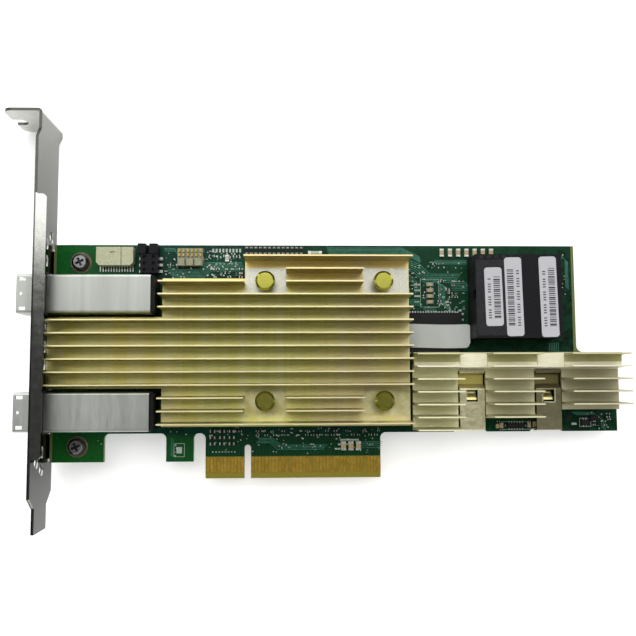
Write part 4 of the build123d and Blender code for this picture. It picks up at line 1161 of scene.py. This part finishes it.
# The floor, a white sheet that glows a little, so that shadows on it stay pale. Its reach is
# in metres.
FLOOR_REACH = 3.0
FLOOR_DROP = 0.2
FLOOR_GLOW = 0.35
floor_data = bpy.data.meshes.new("floor")
floor_data.from_pydata(
    [
        (x * FLOOR_REACH, y * FLOOR_REACH, -FLOOR_DROP * MM)
        for x, y in ((-1, -1), (1, -1), (1, 1), (-1, 1))
    ],
    [],
    [(0, 1, 2, 3)],
)
floor = bpy.data.objects.new("floor", floor_data)
bpy.context.scene.collection.objects.link(floor)
floor_paper = speckled(
    "floor_paper", (0.90, 0.90, 0.90), (0.93, 0.93, 0.93), 0.02, (0.8, 0.9), 0.0, 0.01
)
paper_inputs = floor_paper.node_tree.nodes["Principled BSDF"].inputs
paper_inputs["Emission Color"].default_value = (1.0, 1.0, 1.0, 1)
paper_inputs["Emission Strength"].default_value = FLOOR_GLOW
floor_data.materials.append(floor_paper)

# One soft box high up past the card's upper edge, turned toward the card. Its sizes are in
# metres.
BOX_WIDTH = 1.2
BOX_HEIGHT = 0.6
BOX_RADIANCE = 0.9
box_spot = Vector((0.05, 0.75, 0.75))
box_data = bpy.data.lights.new("key_box", "AREA")
box_data.shape = "RECTANGLE"
box_data.size = BOX_WIDTH
box_data.size_y = BOX_HEIGHT
box_data.energy = BOX_RADIANCE * math.pi * BOX_WIDTH * BOX_HEIGHT
key_box = bpy.data.objects.new("key_box", box_data)
bpy.context.scene.collection.objects.link(key_box)
key_box.location = box_spot
key_box.rotation_euler = (-box_spot).to_track_quat("-Z", "Y").to_euler()

# The room: pale all round, with a bright ceiling toward +Y that falls off toward -Y and +X.
# Edges are parts of a direction, from -1 to 1, and the other values are brightness.
CEILING_DARK_Y = 0.10
CEILING_BRIGHT_Y = 0.245
CEILING_DIM = 0.10
CEILING_BRIGHT = 3.0
CEILING_EAST_START = 0.10
CEILING_EAST_END = 0.42
CEILING_EAST = 0.25
WALL_TOP = 0.70
CEILING_EDGE = 0.90
WALL_SOUTH = 0.75
WALL_NORTH = 1.85
world = bpy.data.worlds.new("studio")
bpy.context.scene.world = world
world.use_nodes = True
tree = world.node_tree


def sky_math(operation, first, second):
    """The result of a math node on two values or numbers."""
    node = tree.nodes.new("ShaderNodeMath")
    node.operation = operation
    for value, socket in ((first, 0), (second, 1)):
        if isinstance(value, bpy.types.NodeSocket):
            tree.links.new(value, node.inputs[socket])
        else:
            node.inputs[socket].default_value = value
    return node.outputs[0]


def sky_span(value, low, high, start, end):
    """A value's way from low to high as a soft change from start to end."""
    node = tree.nodes.new("ShaderNodeMapRange")
    node.interpolation_type = "SMOOTHSTEP"
    tree.links.new(value, node.inputs["Value"])
    for name, number in (
        ("From Min", low), ("From Max", high), ("To Min", start), ("To Max", end)
    ):
        node.inputs[name].default_value = number
    return node.outputs["Result"]


toward = tree.nodes.new("ShaderNodeTexCoord")
parts = tree.nodes.new("ShaderNodeSeparateXYZ")
tree.links.new(toward.outputs["Generated"], parts.inputs[0])
north = sky_span(parts.outputs["Y"], CEILING_DARK_Y, CEILING_BRIGHT_Y, CEILING_DIM, CEILING_BRIGHT)
east = sky_span(parts.outputs["X"], CEILING_EAST_START, CEILING_EAST_END, 1.0, CEILING_EAST)
ceiling_share = sky_span(parts.outputs["Z"], WALL_TOP, CEILING_EDGE, 0.0, 1.0)
wall_share = sky_math("SUBTRACT", 1.0, ceiling_share)
ceiling = sky_math("MULTIPLY", sky_math("MULTIPLY", north, east), ceiling_share)
walls = sky_span(parts.outputs["Y"], -1.0, 1.0, WALL_SOUTH, WALL_NORTH)
radiance = sky_math("ADD", ceiling, sky_math("MULTIPLY", walls, wall_share))
background = tree.nodes["Background"].inputs
tree.links.new(radiance, background["Strength"])
background["Color"].default_value = (1.0, 1.0, 0.98, 1)

# The camera, nearly straight above the card, with its place in metres and its turn in radians.
SENSOR_MM = 36.0
LENS_MM = 42.24
LENS_SHIFT = 0.0033
NEAR_CLIP = 0.01
CAMERA_SPOT = (-0.007769, -0.017708, 0.228903)
CAMERA_TURN = (0.08, -0.034, -0.001)
camera_data = bpy.data.cameras.new("camera")
camera = bpy.data.objects.new("camera", camera_data)
bpy.context.scene.collection.objects.link(camera)
camera_data.sensor_width = SENSOR_MM
camera_data.lens = LENS_MM
camera_data.shift_x = LENS_SHIFT
camera_data.shift_y = LENS_SHIFT
camera_data.clip_start = NEAR_CLIP
camera.location = CAMERA_SPOT
camera.rotation_mode = "ZYX"
camera.rotation_euler = CAMERA_TURN
bpy.context.scene.camera = camera
bpy.context.scene.view_settings.view_transform = "Standard"
